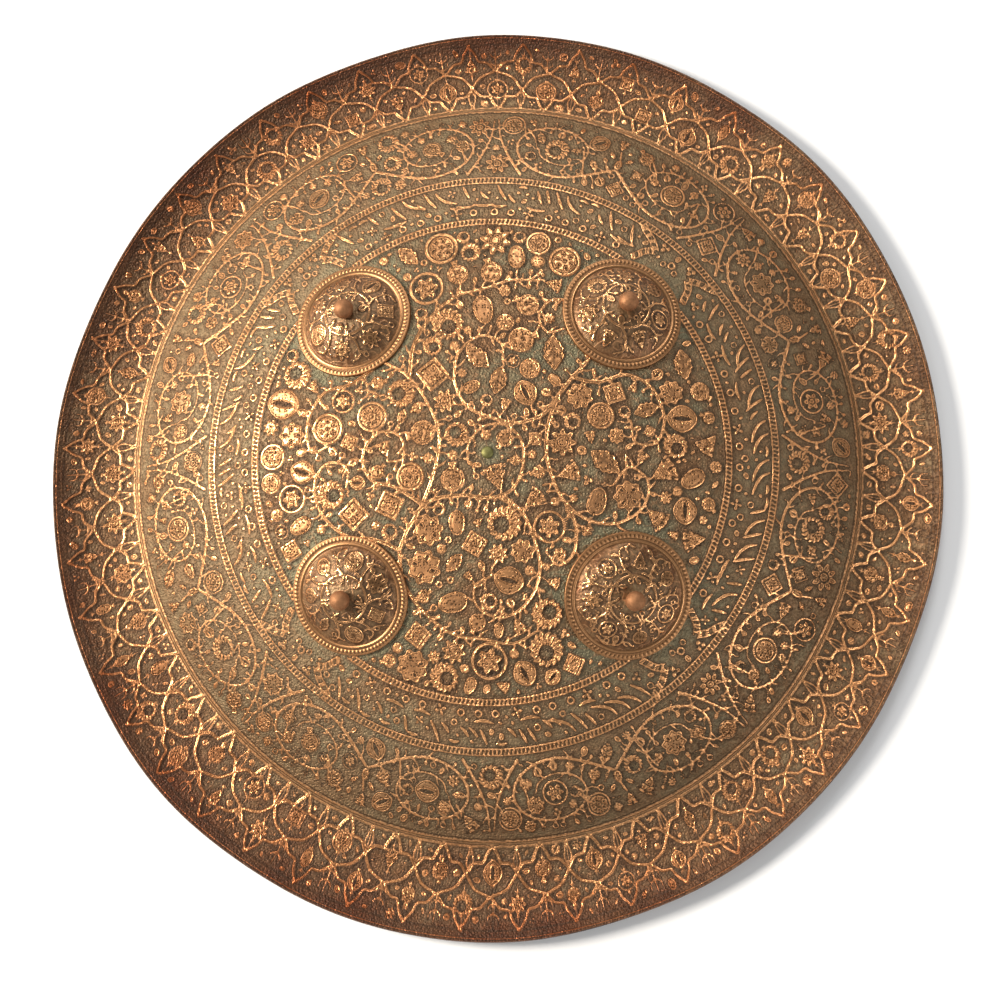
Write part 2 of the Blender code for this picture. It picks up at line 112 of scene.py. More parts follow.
# Where the random draws begin
SHEET_SEED = 7
BOSS_SEED = 40

# Rasters of the relief: cell sizes and reach of the distance map in cells; steps of curves and of rope ticks
ART_PITCH = 0.00025
BOSS_ART_PITCH = 0.00015
DEPTH_CELLS = 6
CURVE_STEP = 0.0012
FINE_STEP = 0.0008
TICK_SPACING = 0.0019

# What the plain back and edges have for their depth inside the relief, in millimetres
PLAIN_DEPTH = 1.4
# The rows on the back have this many times fewer points than those on the face
COARSER = 8
# Small gaps that keep parts from touching or standing out past the solids
HAIR = 0.0001
FLANGE_GAP = 0.00005
KNOB_INSET = 0.00008


def rim_height(radius):
    return SHEET_THICKNESS + (radius - REST_RING_RADIUS) ** 2 / (2 * RIM_CURVE_RADIUS)


def sheet_height(radius):
    """Height of the face over the resting plane, by the plain round radius."""
    inside = np.minimum(radius, CREASE_RADIUS)
    flat = math.sqrt(DOME_RADIUS ** 2 - CREASE_RADIUS ** 2)
    dome = rim_height(CREASE_RADIUS) + np.sqrt(DOME_RADIUS ** 2 - inside ** 2) - flat
    return np.where(radius <= CREASE_RADIUS, dome, rim_height(radius))


def surface(flat):
    """Carry points of the plain round layout, (n, 2), to the face, (n, 3)."""
    radius, angle = round_view(flat[:, 0], flat[:, 1])
    beyond = np.clip((radius - CREASE_RADIUS) / (RIM_RADIUS - CREASE_RADIUS), 0, None)
    wave = OUT_OF_ROUND * np.cos(2 * (angle - OUT_OF_ROUND_ANGLE))
    wave = wave + HAMMER_WAVE * (np.cos(8 * angle + 0.6) + 0.6 * np.cos(14 * angle + 2.0))
    stretched = radius + beyond * (wave - LIP_TRIM)
    x = stretched * np.cos(angle) * (1 - LENGTHWAYS_OVAL) + DOME_SHIFT[0] * (1 - beyond)
    y = stretched * np.sin(angle) * (1 + LENGTHWAYS_OVAL) + DOME_SHIFT[1] * (1 - beyond)
    return np.stack([x, y, sheet_height(radius)], axis=1)


def surface_normals(flat, step=2e-5):
    across = surface(flat + [step, 0]) - surface(flat - [step, 0])
    along = surface(flat + [0, step]) - surface(flat - [0, step])
    normals = np.cross(across, along)
    return normals / np.linalg.norm(normals, axis=1, keepdims=True)


def polar(radius, angle):
    return np.array([radius * math.cos(angle), radius * math.sin(angle)])


def ring_points(radii, turns):
    """Layout points from arrays of radii and angles."""
    return np.stack([radii * np.cos(turns), radii * np.sin(turns)], axis=-1)


def even_turns(count):
    return TAU * np.arange(count) / count


def scattered(random, low, high, count):
    """Random places in a ring of the layout."""
    radii = random.uniform(low, high, count)
    return ring_points(radii, random.uniform(0, TAU, count))


def from_boss(flat, name):
    """Distance of layout points from the middle of a boss."""
    return np.hypot(*(flat - boss_centre(name)).T)


def seat_frame(flat_point):
    """Frame standing on the dome at a layout point, its Z along the surface normal."""
    place = np.array([flat_point])
    normal = Vector(surface_normals(place)[0])
    side = Vector((0, 1, 0)).cross(normal).normalized()
    rotation = Matrix((side, normal.cross(side), normal)).transposed().to_4x4()
    return Matrix.Translation(Vector(surface(place)[0])) @ rotation


def boss_radius(name):
    return LARGE_BOSS_RADIUS if name == LARGE_BOSS else BOSS_RADIUS


def boss_centre(name):
    return polar(BOSS_RING_RADIUS, math.radians(BOSS_ANGLES[name]))


def ripple(points, waves, shortest, longest, seed):
    """Gentle uneven waves over any points, from -1 to 1, the same each time."""
    random = np.random.default_rng(seed)
    total = np.zeros(len(points))
    for _ in range(waves):
        turn, phase = random.uniform(0, TAU, 2)
        length = random.uniform(shortest, longest)
        along = points[:, 0] * math.cos(turn) + points[:, 1] * math.sin(turn)
        total += np.cos(along * TAU / length + phase)
    return total / waves


def smooth_step(values):
    values = np.clip(values, 0, 1)
    return values * values * (3 - 2 * values)


def dip(values):
    """A soft bump of unit height, 0 beyond one unit."""
    return np.clip(1 - values * values, 0, 1) ** 2


def curve_through(points, step=CURVE_STEP):
    """Smooth open curve through points, as closely spaced points."""
    points = np.asarray(points, dtype=float)
    padded = np.vstack([2 * points[0] - points[1], points, 2 * points[-1] - points[-2]])
    curve = []
    for a, b, c, d in zip(padded, padded[1:], padded[2:], padded[3:]):
        count = max(2, int(np.linalg.norm(c - b) / step))
        for t in np.arange(count) / count:
            bend = -a + 3 * b - 3 * c + d
            curve.append(0.5 * (2 * b + (c - a) * t + (2 * a - 5 * b + 4 * c - d) * t ** 2 + bend * t ** 3))
    curve.append(points[-1])
    return np.array(curve)


# Motifs: each takes local coordinates, 1 at its edge, and the softness of its edge


def round_view(u, v):
    """Distance from the middle of a motif or of the layout, and the angle about it."""
    return np.hypot(u, v), np.arctan2(v, u)


def daisy(u, v, soft, petals=8):
    rho, phi = round_view(u, v)
    height = smooth_step((0.84 + 0.16 * np.cos(petals * phi) - rho) / soft)
    height *= 1 - 0.75 * np.clip(-np.cos(petals * phi) - 0.35, 0, 1) * smooth_step((rho - 0.32) / 0.2)
    return height * (1 - 0.6 * dip((rho - 0.34) / 0.13))


def rosette(u, v, soft, pits=6):
    rho, phi = round_view(u, v)
    height = smooth_step((1 - rho) / soft) * (1 - 0.7 * dip((rho - 0.76) / 0.12))
    height *= 1 - 0.75 * dip((rho - 0.46) / 0.2) * np.clip(np.cos(pits * phi), 0, 1)
    return height * (1 - 0.6 * dip(rho / 0.17))


def seed_head(u, v, soft):
    rho, phi = round_view(u, v)
    outline = (0.76 + 0.24 * np.clip(np.cos(phi), 0, 1) ** 4) * (1 - 0.20 * np.sin(phi) ** 2)
    return smooth_step((outline - rho) / soft) * (1 - 0.5 * dip((outline - 0.20 - rho) / 0.09))


def wheel(u, v, soft, spokes=4):
    """Round flower with slits cut between its petals."""
    rho, phi = round_view(u, v)
    height = smooth_step((0.92 + 0.08 * np.cos(2 * spokes * phi) - rho) / soft)
    height *= 1 - 0.85 * dip((rho - 0.52) / 0.30) * dip((1 - np.cos(spokes * phi)) / 0.30)
    return height * (1 - 0.45 * dip((rho - 0.80) / 0.09))


def pod(u, v, soft):
    """Seed pod split along its middle."""
    rho = np.hypot(u, v * (1.12 + 0.35 * u * u))
    height = smooth_step((0.98 - rho) / soft) * (1 - 0.4 * dip((rho - 0.80) / 0.09))
    return height * (1 - 0.85 * smooth_step((0.20 * (1 - u * u / 0.6) - np.abs(v)) / 0.10))


def serrated(u, v, soft):
    """Toothed leaf with a midrib."""
    teeth = 0.80 + 0.20 * np.abs(np.sin(7 * u + 6 * np.abs(v)))
    height = smooth_step((0.60 * (1 - u * u) * teeth - np.abs(v)) / soft)
    ribs = np.clip(np.cos(13 * u - 11 * np.abs(v)), 0, 1) * (np.abs(v) > 0.10)
    return height * (1 - 0.5 * ribs) * (1 - 0.5 * dip(v / 0.10))


def almond(u, v, soft):
    inside = 0.46 * (1 - u * u) - np.abs(v)
    return smooth_step(inside / soft) * (1 - 0.6 * dip(v / 0.12) * smooth_step((0.8 - np.abs(u)) / 0.3))


def feather(u, v, soft):
    """Crescent leaf with chased barbs."""
    rho, phi = round_view(u, v)
    hollow = np.hypot(u - 0.18, v + 0.10)
    inside = np.minimum(0.98 - rho + 0.05 * np.cos(15 * phi), hollow - 0.40)
    height = smooth_step(inside / soft)
    return height * (1 - 0.7 * np.clip(np.cos(15 * phi + 9 * np.abs(rho - 0.72)), 0, 1))


def fan(u, v, soft):
    """Bell flower that opens from a narrow stalk."""
    reach = np.hypot(u + 0.9, v) / 1.8
    spread = np.arctan2(v, u + 0.95)
    inside = np.minimum(0.98 - reach + 0.03 * np.cos(16 * spread), (0.52 - np.abs(spread)) * reach * 1.5)
    height = smooth_step(inside / soft)
    height *= 1 - 0.6 * dip((reach - 0.52) / 0.07) - 0.5 * dip((reach - 0.78) / 0.06)
    return height * (1 - 0.6 * np.clip(np.cos(16 * spread), 0, 1) * smooth_step((reach - 0.58) / 0.08))


def panelled_square(u, v, soft):
    size = np.maximum(np.abs(u), np.abs(v))
    height = smooth_step((0.76 - size) / soft) * (1 - 0.7 * dip((size - 0.52) / 0.11))
    return height * (1 - 0.7 * dip(np.hypot(np.abs(u) - 0.22, np.abs(v) - 0.22) / 0.16))


def bud(u, v, soft):
    rho = np.hypot(u * 0.9, v * 1.25)
    return np.sqrt(np.clip(1 - rho ** 2, 0, 1)) * smooth_step((1 - rho) / soft)


def trefoil(u, v, soft):
    lobes = [0.46 - np.hypot(u - 0.5 * math.cos(a), v - 0.5 * math.sin(a)) for a in (0, 2.1, -2.1)]
    lobes = np.maximum.reduce(lobes)
    return smooth_step(lobes / soft) * (1 - 0.5 * dip((lobes - 0.22) / 0.1))


def star(u, v, soft):
    rho, phi = round_view(u, v)
    outline = 0.42 + 0.58 * np.abs(np.cos(2 * phi)) ** 2.5
    return smooth_step((outline - rho) / soft) * (1 - 0.7 * dip((rho - 0.28) / 0.16))


def ringlet(u, v, soft):
    return dip((np.hypot(u, v) - 0.68) / 0.36)


def ringed_daisy(u, v, soft):
    rho = np.hypot(u, v)
    ring = dip((rho - 0.88) / 0.13)
    return np.maximum(ring, 0.95 * daisy(u / 0.7, v / 0.7, soft / 0.7, 6))


def pomegranate(u, v, soft):
    """Round fruit with a toothed crown and seeds behind a slanting band."""
    rho = np.hypot(u + 0.12, v)
    body = smooth_step((0.80 - rho) / soft)
    crown = smooth_step(np.minimum(1 - u, 0.16 + 0.45 * (u - 0.55) - np.abs(v)) / soft) * (u > 0.5)
    rows = np.clip(np.cos(11 * u + 3 * v) * np.cos(9 * v), 0, 1) * smooth_step((0.62 - rho) / 0.15)
    return np.maximum(body * (1 - 0.6 * dip((rho - 0.64) / 0.09) - 0.6 * rows), crown)


FLOWERS = (daisy, rosette, seed_head, ringed_daisy, feather, pomegranate, fan, wheel, pod, panelled_square,
           fan, pomegranate, serrated, feather)
SMALL_FLOWERS = (trefoil, daisy, rosette, almond, bud, seed_head, serrated, pod)
FILLINGS = (bud, trefoil, almond, ringlet)


class Relief:
    """Height of the chased work over a flat layout, kept as a raster."""

    def __init__(self, reach, pitch):
        self.reach = reach
        self.pitch = pitch
        count = 2 * int(reach / pitch) + 2
        self.height = np.zeros((count, count), np.float32)
        self.seeds = np.zeros((count, count), np.float32)
        self.axis = -reach + pitch * np.arange(count)
        self.taken = []

    def window(self, low, high):
        first = np.clip(((np.asarray(low) + self.reach) / self.pitch).astype(int), 0, len(self.axis))
        last = np.clip(((np.asarray(high) + self.reach) / self.pitch).astype(int) + 2, 0, len(self.axis))
        rows, columns = slice(first[1], last[1]), slice(first[0], last[0])
        return (rows, columns), self.axis[None, columns], self.axis[rows, None]

    def stamp(self, motif, centre, radius, turn, height, edge=0.00045):
        """Raise one motif, and keep its ground for itself."""
        centre = np.asarray(centre)
        part, x, y = self.window(centre - 1.2 * radius, centre + 1.2 * radius)
        x, y = x - centre[0], y - centre[1]
        u = (x * math.cos(turn) + y * math.sin(turn)) / (1.06 * radius)
        v = (y * math.cos(turn) - x * math.sin(turn)) / (1.06 * radius)
        view = self.height[part]
        np.maximum(view, height * motif(u, v, edge / radius), out=view)
        if radius > 0.0027:
            seeds = self.seeds[part]
            np.maximum(seeds, smooth_step((0.82 - np.hypot(u, v)) / 0.14), out=seeds)
        self.taken.append((*centre, radius))

    def stroke(self, route, widths, height, lines=1):
        """Raise a ridge along a route; with more lines it is grooved lengthways."""
        widths = np.broadcast_to(widths, len(route))
        top = widths.max()
        for a, b, wide_a, wide_b in zip(route, route[1:], widths, widths[1:]):
            part, x, y = self.window(np.minimum(a, b) - top, np.maximum(a, b) + top)
            run = b - a
            along = np.clip(((x - a[0]) * run[0] + (y - a[1]) * run[1]) / max(run @ run, 1e-12), 0, 1)
            away = np.hypot(x - a[0] - along * run[0], y - a[1] - along * run[1])
            wide = wide_a + along * (wide_b - wide_a)
            share = away / np.maximum(wide, 1e-6)
            rise = np.clip(1 - share ** 2, 0, 1) ** 0.75 * np.minimum(1, 0.35 + wide / top)
            if lines > 1:
                rise = rise * (1 - 0.60 * dip(share / 0.42))
            view = self.height[part]
            np.maximum(view, height * rise, out=view)

    def draw(self, points, width, height, ends=(1.0, 1.0), step=CURVE_STEP, lines=1):
        """Raise a smooth ridge through points, tapering from one share of its width to another."""
        route = curve_through(points, step)
        self.stroke(route, np.linspace(*ends, len(route)) * width, height, lines)
        return route

    def ring(self, radius, half_width, height):
        """Raise a circle about the middle."""
        rho = np.hypot(self.axis[None, :], self.axis[:, None])
        np.maximum(self.height, height * dip((rho - radius) / half_width), out=self.height)

    def blur(self, raster, reach):
        """Box blur, run twice each way."""
        size = 2 * int(reach / self.pitch) + 1
        for axis in (0, 1, 0, 1):
            sums = np.cumsum(np.insert(raster, 0, 0, axis=axis), axis=axis, dtype=np.float64)
            edge = size // 2
            count = raster.shape[axis]
            high = np.clip(np.arange(count) + edge + 1, 0, count)
            low = np.clip(np.arange(count) - edge, 0, count)
            span = (high - low).reshape((-1, 1) if axis == 0 else (1, -1))
            raster = ((np.take(sums, high, axis) - np.take(sums, low, axis)) / span).astype(np.float32)
        return raster

    def distance_in(self, outline_height):
        """How far each point lies inside the outline of the raised work, or outside it if negative."""
        solid = self.height > outline_height
        inside = np.full(solid.shape, DEPTH_CELLS, np.float32)
        outside = inside.copy()
        for down in range(-DEPTH_CELLS, DEPTH_CELLS + 1):
            for across in range(-DEPTH_CELLS, DEPTH_CELLS + 1):
                away = math.hypot(down, across)
                if 0 < away <= DEPTH_CELLS:
                    neighbour = np.roll(solid, (down, across), (0, 1))
                    np.minimum(inside, away, out=inside, where=~neighbour)
                    np.minimum(outside, away, out=outside, where=neighbour)
        return np.where(solid, inside - 0.5, 0.5 - outside).astype(np.float32) * self.pitch

    def finish(self, soften, hollow_reach, gain, outline_height):
        """Soften the tool marks and work out how deep each point lies among its neighbours."""
        self.depth = self.distance_in(outline_height)
        self.height = self.blur(self.height, soften)
        self.cavity = np.clip((self.blur(self.height, hollow_reach) - self.height) * gain, -1, 1)

    def read(self, raster, flat):
        """Values of a raster at layout points, blended between its cells."""
        place = np.clip((flat + self.reach) / self.pitch, 0, len(self.axis) - 1.001)
        whole = place.astype(int)
        share = place - whole
        c, r = whole[:, 0], whole[:, 1]
        low = raster[r, c] * (1 - share[:, 0]) + raster[r, c + 1] * share[:, 0]
        high = raster[r + 1, c] * (1 - share[:, 0]) + raster[r + 1, c + 1] * share[:, 0]
        return low * (1 - share[:, 1]) + high * share[:, 1]


def sprig(art, foot, facing, long, width, height, pairs):
    """Stalk with pairs of pointed leaves, from its foot the way it faces; gives back its lines."""
    tip = foot + polar(long, facing)
    lines = [art.draw([foot, (foot + tip) / 2, tip], width, height, (1.0, 0.5))]
    for k in range(pairs):
        root = foot + polar(long * (0.15 + 0.36 * k), facing)
        for side in (-1, 1):
            belly = root + polar(0.26 * long, facing + side * 1.0)
            point = root + polar(0.46 * long, facing + side * 0.55)
            lines.append(art.draw([root, belly, point], width, height, (1.0, 0.4), FINE_STEP))
    return lines


def spear(art, foot, facing, long, width, height):
    """Long pointed leaf in outline with a midrib, from its foot the way it faces; gives back its lines."""
    tip = foot + polar(long, facing)
    lines = [art.draw([foot, (foot + tip) / 2, tip], 0.75 * width, 0.75 * height, step=0.0010)]
    for side in (-1, 1):
        belly = foot + polar(0.36 * long, facing) + polar(0.15 * long, facing + side * math.pi / 2)
        lines.append(art.draw([foot, belly, tip], width, height, step=0.0010))
    return lines


def rim_point(turn, share):
    """Layout point at a share of the way from the crease out to the edge."""
    return polar(CREASE_RADIUS + share * (RIM_RADIUS - CREASE_RADIUS), turn)


# Way of one strap outward over the rim: sideways in repeats, and outward as a share of the rim
STRAP_CLIMB = ((0.0, 0.03), (0.12, 0.14), (0.18, 0.215), (0.35, 0.225), (0.5, 0.33), (0.69, 0.485),
               (1.0, 0.57), (1.17, 0.675), (1.32, 0.695), (1.38, 0.79), (1.5, 0.90))
# Cartouches between the straps: place sideways and outward, and size of the flower in each
CARTOUCHES = ((0.0, 0.315, 0.125), (0.5, 0.640, 0.112))


def strap_pair(art, k, pitch, width, height, random):
    """Two straps that leave one foot to left and right; gives back their lines."""
    sway = random.normal(0, 0.012, 2)
    lines = []
    for hand in (-1, 1):
        points = [rim_point((k + sway[0] + hand * step) * pitch, share + sway[1] * 0.3)
                  for step, share in STRAP_CLIMB]
        lines.append(art.draw(points, width, height, (1.0, 0.72)))
    return lines


def cartouche(art, place, width, height, random):
    """Flower with a small sprig above and below it; gives back the sprigs' lines."""
    turn, share, size = place
    flower = FLOWERS[random.integers(len(FLOWERS))]
    radius = size * (RIM_RADIUS - CREASE_RADIUS) * random.uniform(0.92, 1.06)
    turn = turn + random.normal(0, 0.002)
    art.stamp(flower, rim_point(turn, share), radius, turn + random.choice((0, math.pi)), 0.85 * height)
    lines = []
    for way, outward in ((0, 0.85), (math.pi, -0.85)):
        foot = rim_point(turn, share + outward * size)
        lines += sprig(art, foot, turn + way, 0.0052, 0.45 * width, 0.8 * height, 1)
    return lines


def chase_strapwork(art, sizes, random):
    """Interlaced ogee straps with a flower in every cartouche, and leafy stalks between the tips."""
    pitch = TAU / sizes.strap_repeats
    width, height = sizes.strap_width / 2, sizes.strap_height
    routes = []
    for k in range(sizes.strap_repeats):
        routes += strap_pair(art, k, pitch, width, height, random)
        turn = k * pitch
        for step, share, size in CARTOUCHES:
            routes += cartouche(art, (turn + step * pitch, share, size), width, height, random)
        middle = turn + random.normal(0, 0.003)
        routes += sprig(art, rim_point(middle, 0.58), middle, 0.0120, 0.62 * width, 0.85 * height, 2)
        middle = turn + 0.5 * pitch + random.normal(0, 0.003)
        routes += spear(art, rim_point(middle, 0.31), middle + math.pi, 0.0118, 0.55 * width, 0.85 * height)
    places = scattered(random, CREASE_RADIUS + 0.0045, STRAP_EDGE - 0.0022, 16000)
    plan = ((0.0029, SMALL_FLOWERS, 120), (0.0021, SMALL_FLOWERS, 420), (0.0015, (almond, bud), 700))
    fill_with_flowers(art, random, places, plan, 0.0003, np.concatenate(routes), 0.75 * height)


def chase_lip(art, sizes):
    """Ticked border between two fine lines, just inside the edge."""
    rho, turn = round_view(art.axis[None, :], art.axis[:, None])
    middle = STRAP_EDGE + 0.0014
    ticks = dip((rho - middle) / 0.0013) * (0.5 + 0.5 * np.cos(sizes.lip_ticks * turn))
    np.maximum(art.height, 0.55 * sizes.line_height * ticks, out=art.height)
    art.ring(middle + 0.0017, 0.0006, sizes.line_height * 0.8)
    art.ring(middle - 0.0016, 0.0005, sizes.line_height * 0.6)


def chase_crease(art, sizes):
    """Smooth rounded band along the foot of the dome, with fine parallel ridges on it."""
    middle, half = (CREASE_EDGE + SCROLL_EDGE) / 2, (CREASE_EDGE - SCROLL_EDGE) / 2
    art.ring(middle, 1.25 * half, 0.68 * sizes.line_height)
    for k in (-1, 0, 1):
        art.ring(middle + 0.64 * k * half, 0.25 * half, (0.75 - 0.15 * abs(k)) * sizes.line_height)


def beaded_line(art, route, sizes):
    """Two fine lines over a low floor, with short rope ticks across the floor."""
    route = np.asarray(route)
    run = np.gradient(route, axis=0)
    run = run / np.linalg.norm(run, axis=1, keepdims=True)
    side = np.stack([-run[:, 1], run[:, 0]], axis=1)
    half = sizes.line_width / 2
    art.stroke(route, 1.25 * half, 0.28 * sizes.flower_height)
    for way in (-1, 1):
        art.stroke(route + way * half * side, 0.00046, sizes.line_height)
    length = np.concatenate([[0], np.cumsum(np.linalg.norm(np.diff(route, axis=0), axis=1))])
    for at in np.arange(0.0008, length[-1], TICK_SPACING):
        k = min(int(np.searchsorted(length, at)), len(route) - 1)
        arm = 0.5 * half * side[k] + 0.0003 * run[k]
        art.stroke(np.array([route[k] - arm, route[k] + arm]), 0.00062, 0.90 * sizes.line_height)


def arc(radius, start=0.0, end=TAU, step=0.0020):
    """Points along a circle about the middle, or part of one."""
    count = max(3, int(abs(end - start) * radius / step))
    return np.array([polar(radius, turn) for turn in np.linspace(start, end, count)])


def clearance(places, lines):
    """Distance from each place to the nearest of many points."""
    nearest = np.full(len(places), np.inf)
    for k in range(0, len(lines), 50):
        some = lines[None, k:k + 50]
        apart = np.hypot(places[:, :1] - some[..., 0], places[:, 1:] - some[..., 1])
        nearest = np.minimum(nearest, apart.min(axis=1))
    return nearest


def tie_to_stem(art, place, size, reach, stems, turn, height):
    """Short stalk from the nearest stem to a motif, if one is near; gives back the way the motif faces."""
    away = stems - place
    distance = np.hypot(away[:, 0], away[:, 1])
    near = int(distance.argmin())
    if distance[near] < reach:
        turn = math.atan2(-away[near, 1], -away[near, 0])
        foot = place - polar(0.9 * size, turn)
        bend = (foot + stems[near]) / 2 + polar(0.0009, turn + math.pi / 2)
        art.draw([stems[near], bend, foot], 0.00055, 0.8 * height)
    return turn


def fill_with_flowers(art, random, places, plan, gap, lines, height, stems=None):
    """Pack bare ground with motifs, snugly and the largest first, each tied to the nearest stem."""
    clear = clearance(places, lines) - 0.0008
    for x, y, size in art.taken:
        clear = np.minimum(clear, np.hypot(places[:, 0] - x, places[:, 1] - y) - size)
    for radius, kinds, most in plan:
        for _ in range(most):
            fits = np.flatnonzero(clear > radius + gap)
            if len(fits) == 0:
                break
            pick = fits[np.argmin(clear[fits] + random.uniform(0, 0.0010, len(fits)))]
            place = places[pick]
            size = radius * random.uniform(0.94, 1.04)
            motif = kinds[random.integers(len(kinds))]
            turn = random.uniform(0, TAU)
            if stems is not None:
                turn = tie_to_stem(art, place, size, radius + 0.0065, stems, turn, height)
            art.stamp(motif, place, size, turn, height * random.uniform(0.85, 1.0))
            clear = np.minimum(clear, np.hypot(*(places - place).T) - radius)


def leafy_stem(art, route, width, height, spacing=5):
    """Double-ridged stem, tapering, with pointed leaflets that leave it forwards on both sides."""
    art.stroke(route, np.linspace(1.15, 0.65, len(route)) * width, height, lines=2)
    for count, at in enumerate(range(4, len(route) - 3, spacing)):
        run = route[at + 1] - route[at - 1]
        facing = math.atan2(run[1], run[0])
        side = 1 if count % 2 else -1
        long = 0.0058 * (1.0 if count % 3 else 1.3)
        belly = route[at] + polar(0.45 * long, facing + side * 0.95)
        point = route[at] + polar(long, facing + side * 0.72)
        art.draw([route[at], belly, point], 0.80 * width, 0.9 * height, (1.0, 0.30), FINE_STEP)


def scroll_spot(turn, across, up):
    """Point of the scroll band, from its middle sideways and outward in shares of its half width."""
    return polar(SCROLL_MIDDLE + up * SCROLL_REACH, turn + across * SCROLL_REACH / SCROLL_MIDDLE)


def spiral_scroll(art, turn, bulb, hand, width, height):
    """Leafy stem that leaves the foot between two scrolls and winds inward; gives back its line."""
    spiral = [scroll_spot(bulb, hand * 0.05, -0.15)]
    for wound in np.linspace(0.07, 1, 15):
        bend = math.radians(-10 - 520 * wound)
        shrink = 1 - 0.60 * wound ** 1.3
        spiral.append(scroll_spot(turn, -hand * 1.38 * shrink * math.cos(bend), shrink * math.sin(bend)))
    route = curve_through(spiral)
    leafy_stem(art, route, width, height, 7)
    return route


def palmette(art, bulb, width, height):
    """Bulb with a fan over it and a leaf on each side, where two scrolls leave one foot."""
    art.stamp(seed_head, scroll_spot(bulb, 0, 0.05), 0.0036, bulb, height)
    art.draw([scroll_spot(bulb, 0, 0.25), scroll_spot(bulb, 0.08, 0.55)], 0.7 * width, height)
    art.stamp(fan, scroll_spot(bulb, 0.1, 0.80), 0.0042, bulb, height)
    for side in (-1, 1):
        art.stamp(almond, scroll_spot(bulb, side * 0.26, 0.34), 0.0028, bulb + side * 0.8, height)


def chase_scroll_band(art, sizes, random):
    """Mirrored pairs of spiral scrolls full of flowers, between the outer beaded line and the crease."""
    pitch = TAU / sizes.scroll_count
    height, width = 0.74 * sizes.flower_height, 0.44 * sizes.stem_width
    stems = []
    for k in range(sizes.scroll_count):
        hand = 1 if k % 2 else -1
        turn = (k + 0.5) * pitch
        bulb = turn - hand * 0.5 * pitch
        stems.append(spiral_scroll(art, turn, bulb, hand, width, height))
        art.stamp(FLOWERS[SCROLL_HEARTS[k % 6]], scroll_spot(turn, 0, 0), 0.0062, turn + k, height)
        for side in (-1, 1):
            offshoot = ((side * 0.95, 0.62 * side), (side * 0.72, 0.30), (side * 0.60, -0.05))
            art.draw([scroll_spot(turn, *spot) for spot in offshoot], width, height, (0.8, 0.4))
        if hand > 0:
            palmette(art, bulb, width, height)
            continue
        root = turn - 0.5 * pitch
        for side in (-1, 1):
            trunk = ((0.86, -1.04), (0.42, -0.42), (0.14, 0.25), (0.05, 0.95))
            trunk = curve_through([scroll_spot(root, side * across, up) for across, up in trunk])
            leafy_stem(art, trunk, width, height, 5)
            stems.append(trunk)
    stems = np.concatenate(stems)
    places = scattered(random, SCROLL_INNER + 0.001, SCROLL_OUTER - 0.001, 14000)
    lines = np.concatenate([stems, arc(SCROLL_INNER - 0.0006), arc(SCROLL_OUTER + 0.0006)])
    plan = ((0.0066, FLOWERS, 40), (0.0057, FLOWERS, 60), (0.0049, FLOWERS, 80), (0.0041, FLOWERS, 120),
            (0.0033, FLOWERS, 200), (0.0025, SMALL_FLOWERS, 300), (0.0018, FILLINGS, 500),
            (0.0013, (almond, bud), 500))
    fill_with_flowers(art, random, places, plan, 0.0003, lines, height, stems)


def off_the_bosses(flat):
    """The layout points that no boss covers."""
    covered = [from_boss(flat, name) < boss_radius(name) for name in BOSS_ANGLES]
    return flat[~np.logical_or.reduce(covered)]


def panel_bounds():
    """Middle and half span of the four inscription panels, between one boss and the next."""
    angles = sorted(math.radians(value) for value in BOSS_ANGLES.values())
    pairs = zip(angles, angles[1:] + [angles[0] + TAU])
    return [((start + end) / 2, (end - start) / 2) for start, end in pairs]


# Strokes of the panels, as points leftward and up: plain slanting strokes and dashes that don't join
PANEL_STROKES = (
    ((0.00, 0.98), (0.25, 0.76), (0.75, 0.60), (1.35, 0.52)),
    ((0.00, 0.96), (0.16, 0.78), (0.38, 0.58)),
    ((0.00, 0.36), (0.40, 0.31), (0.80, 0.30), (1.25, 0.34)),
    ((0.00, 0.92), (0.30, 0.95), (0.62, 0.91)),
    ((0.00, 0.74), (0.22, 0.60), (0.50, 0.51)),
    ((0.00, 0.98), (0.28, 0.70), (0.66, 0.46)),
)
STROKE_SPACING = (0.050, 0.036, 0.030, 0.044, 0.036, 0.044)
RINGLET_SPACING = 0.075
PANEL_LOW = INNER_LINE_RADIUS + 0.0030
PANEL_HIGH = OUTER_LINE_RADIUS - 0.0028


def boss_bracket(art, turn, side, sizes):
    """Beaded bracket beside a boss, in two curves that meet in a cusp; gives back its lines."""
    outer = ((0.0010, 0.178), (0.0034, 0.152), (0.0054, 0.118), (0.0092, 0.082))
    inner = ((0.0092, 0.082), (0.0122, 0.112), (0.0190, 0.140))
    lines = []
    for curve in (outer, inner):
        route = curve_through([polar(OUTER_LINE_RADIUS - down, turn + side * away) for down, away in curve])
        beaded_line(art, route, sizes)
        lines.append(route)
    return lines


def panel_spot(turn, up):
    """Point of the panels, at a share of the way from their inner line to their outer one."""
    return polar(PANEL_LOW + up * (PANEL_HIGH - PANEL_LOW), turn)


def panel_stroke(art, at, kind, sizes, random):
    """One plain stroke of a panel; gives back its line."""
    long, lift = random.uniform(0.050, 0.066), random.normal(0, 0.03)
    points = [panel_spot(at - along * long, min(up + lift, 1.0)) for along, up in PANEL_STROKES[kind]]
    route = curve_through(points, 0.0010)
    swell = 0.40 + 0.70 * np.sin(np.linspace(0.25, math.pi * 0.90, len(route)))
    art.stroke(route, swell * sizes.stroke_width / 2, sizes.stroke_height * 1.25)
    return route


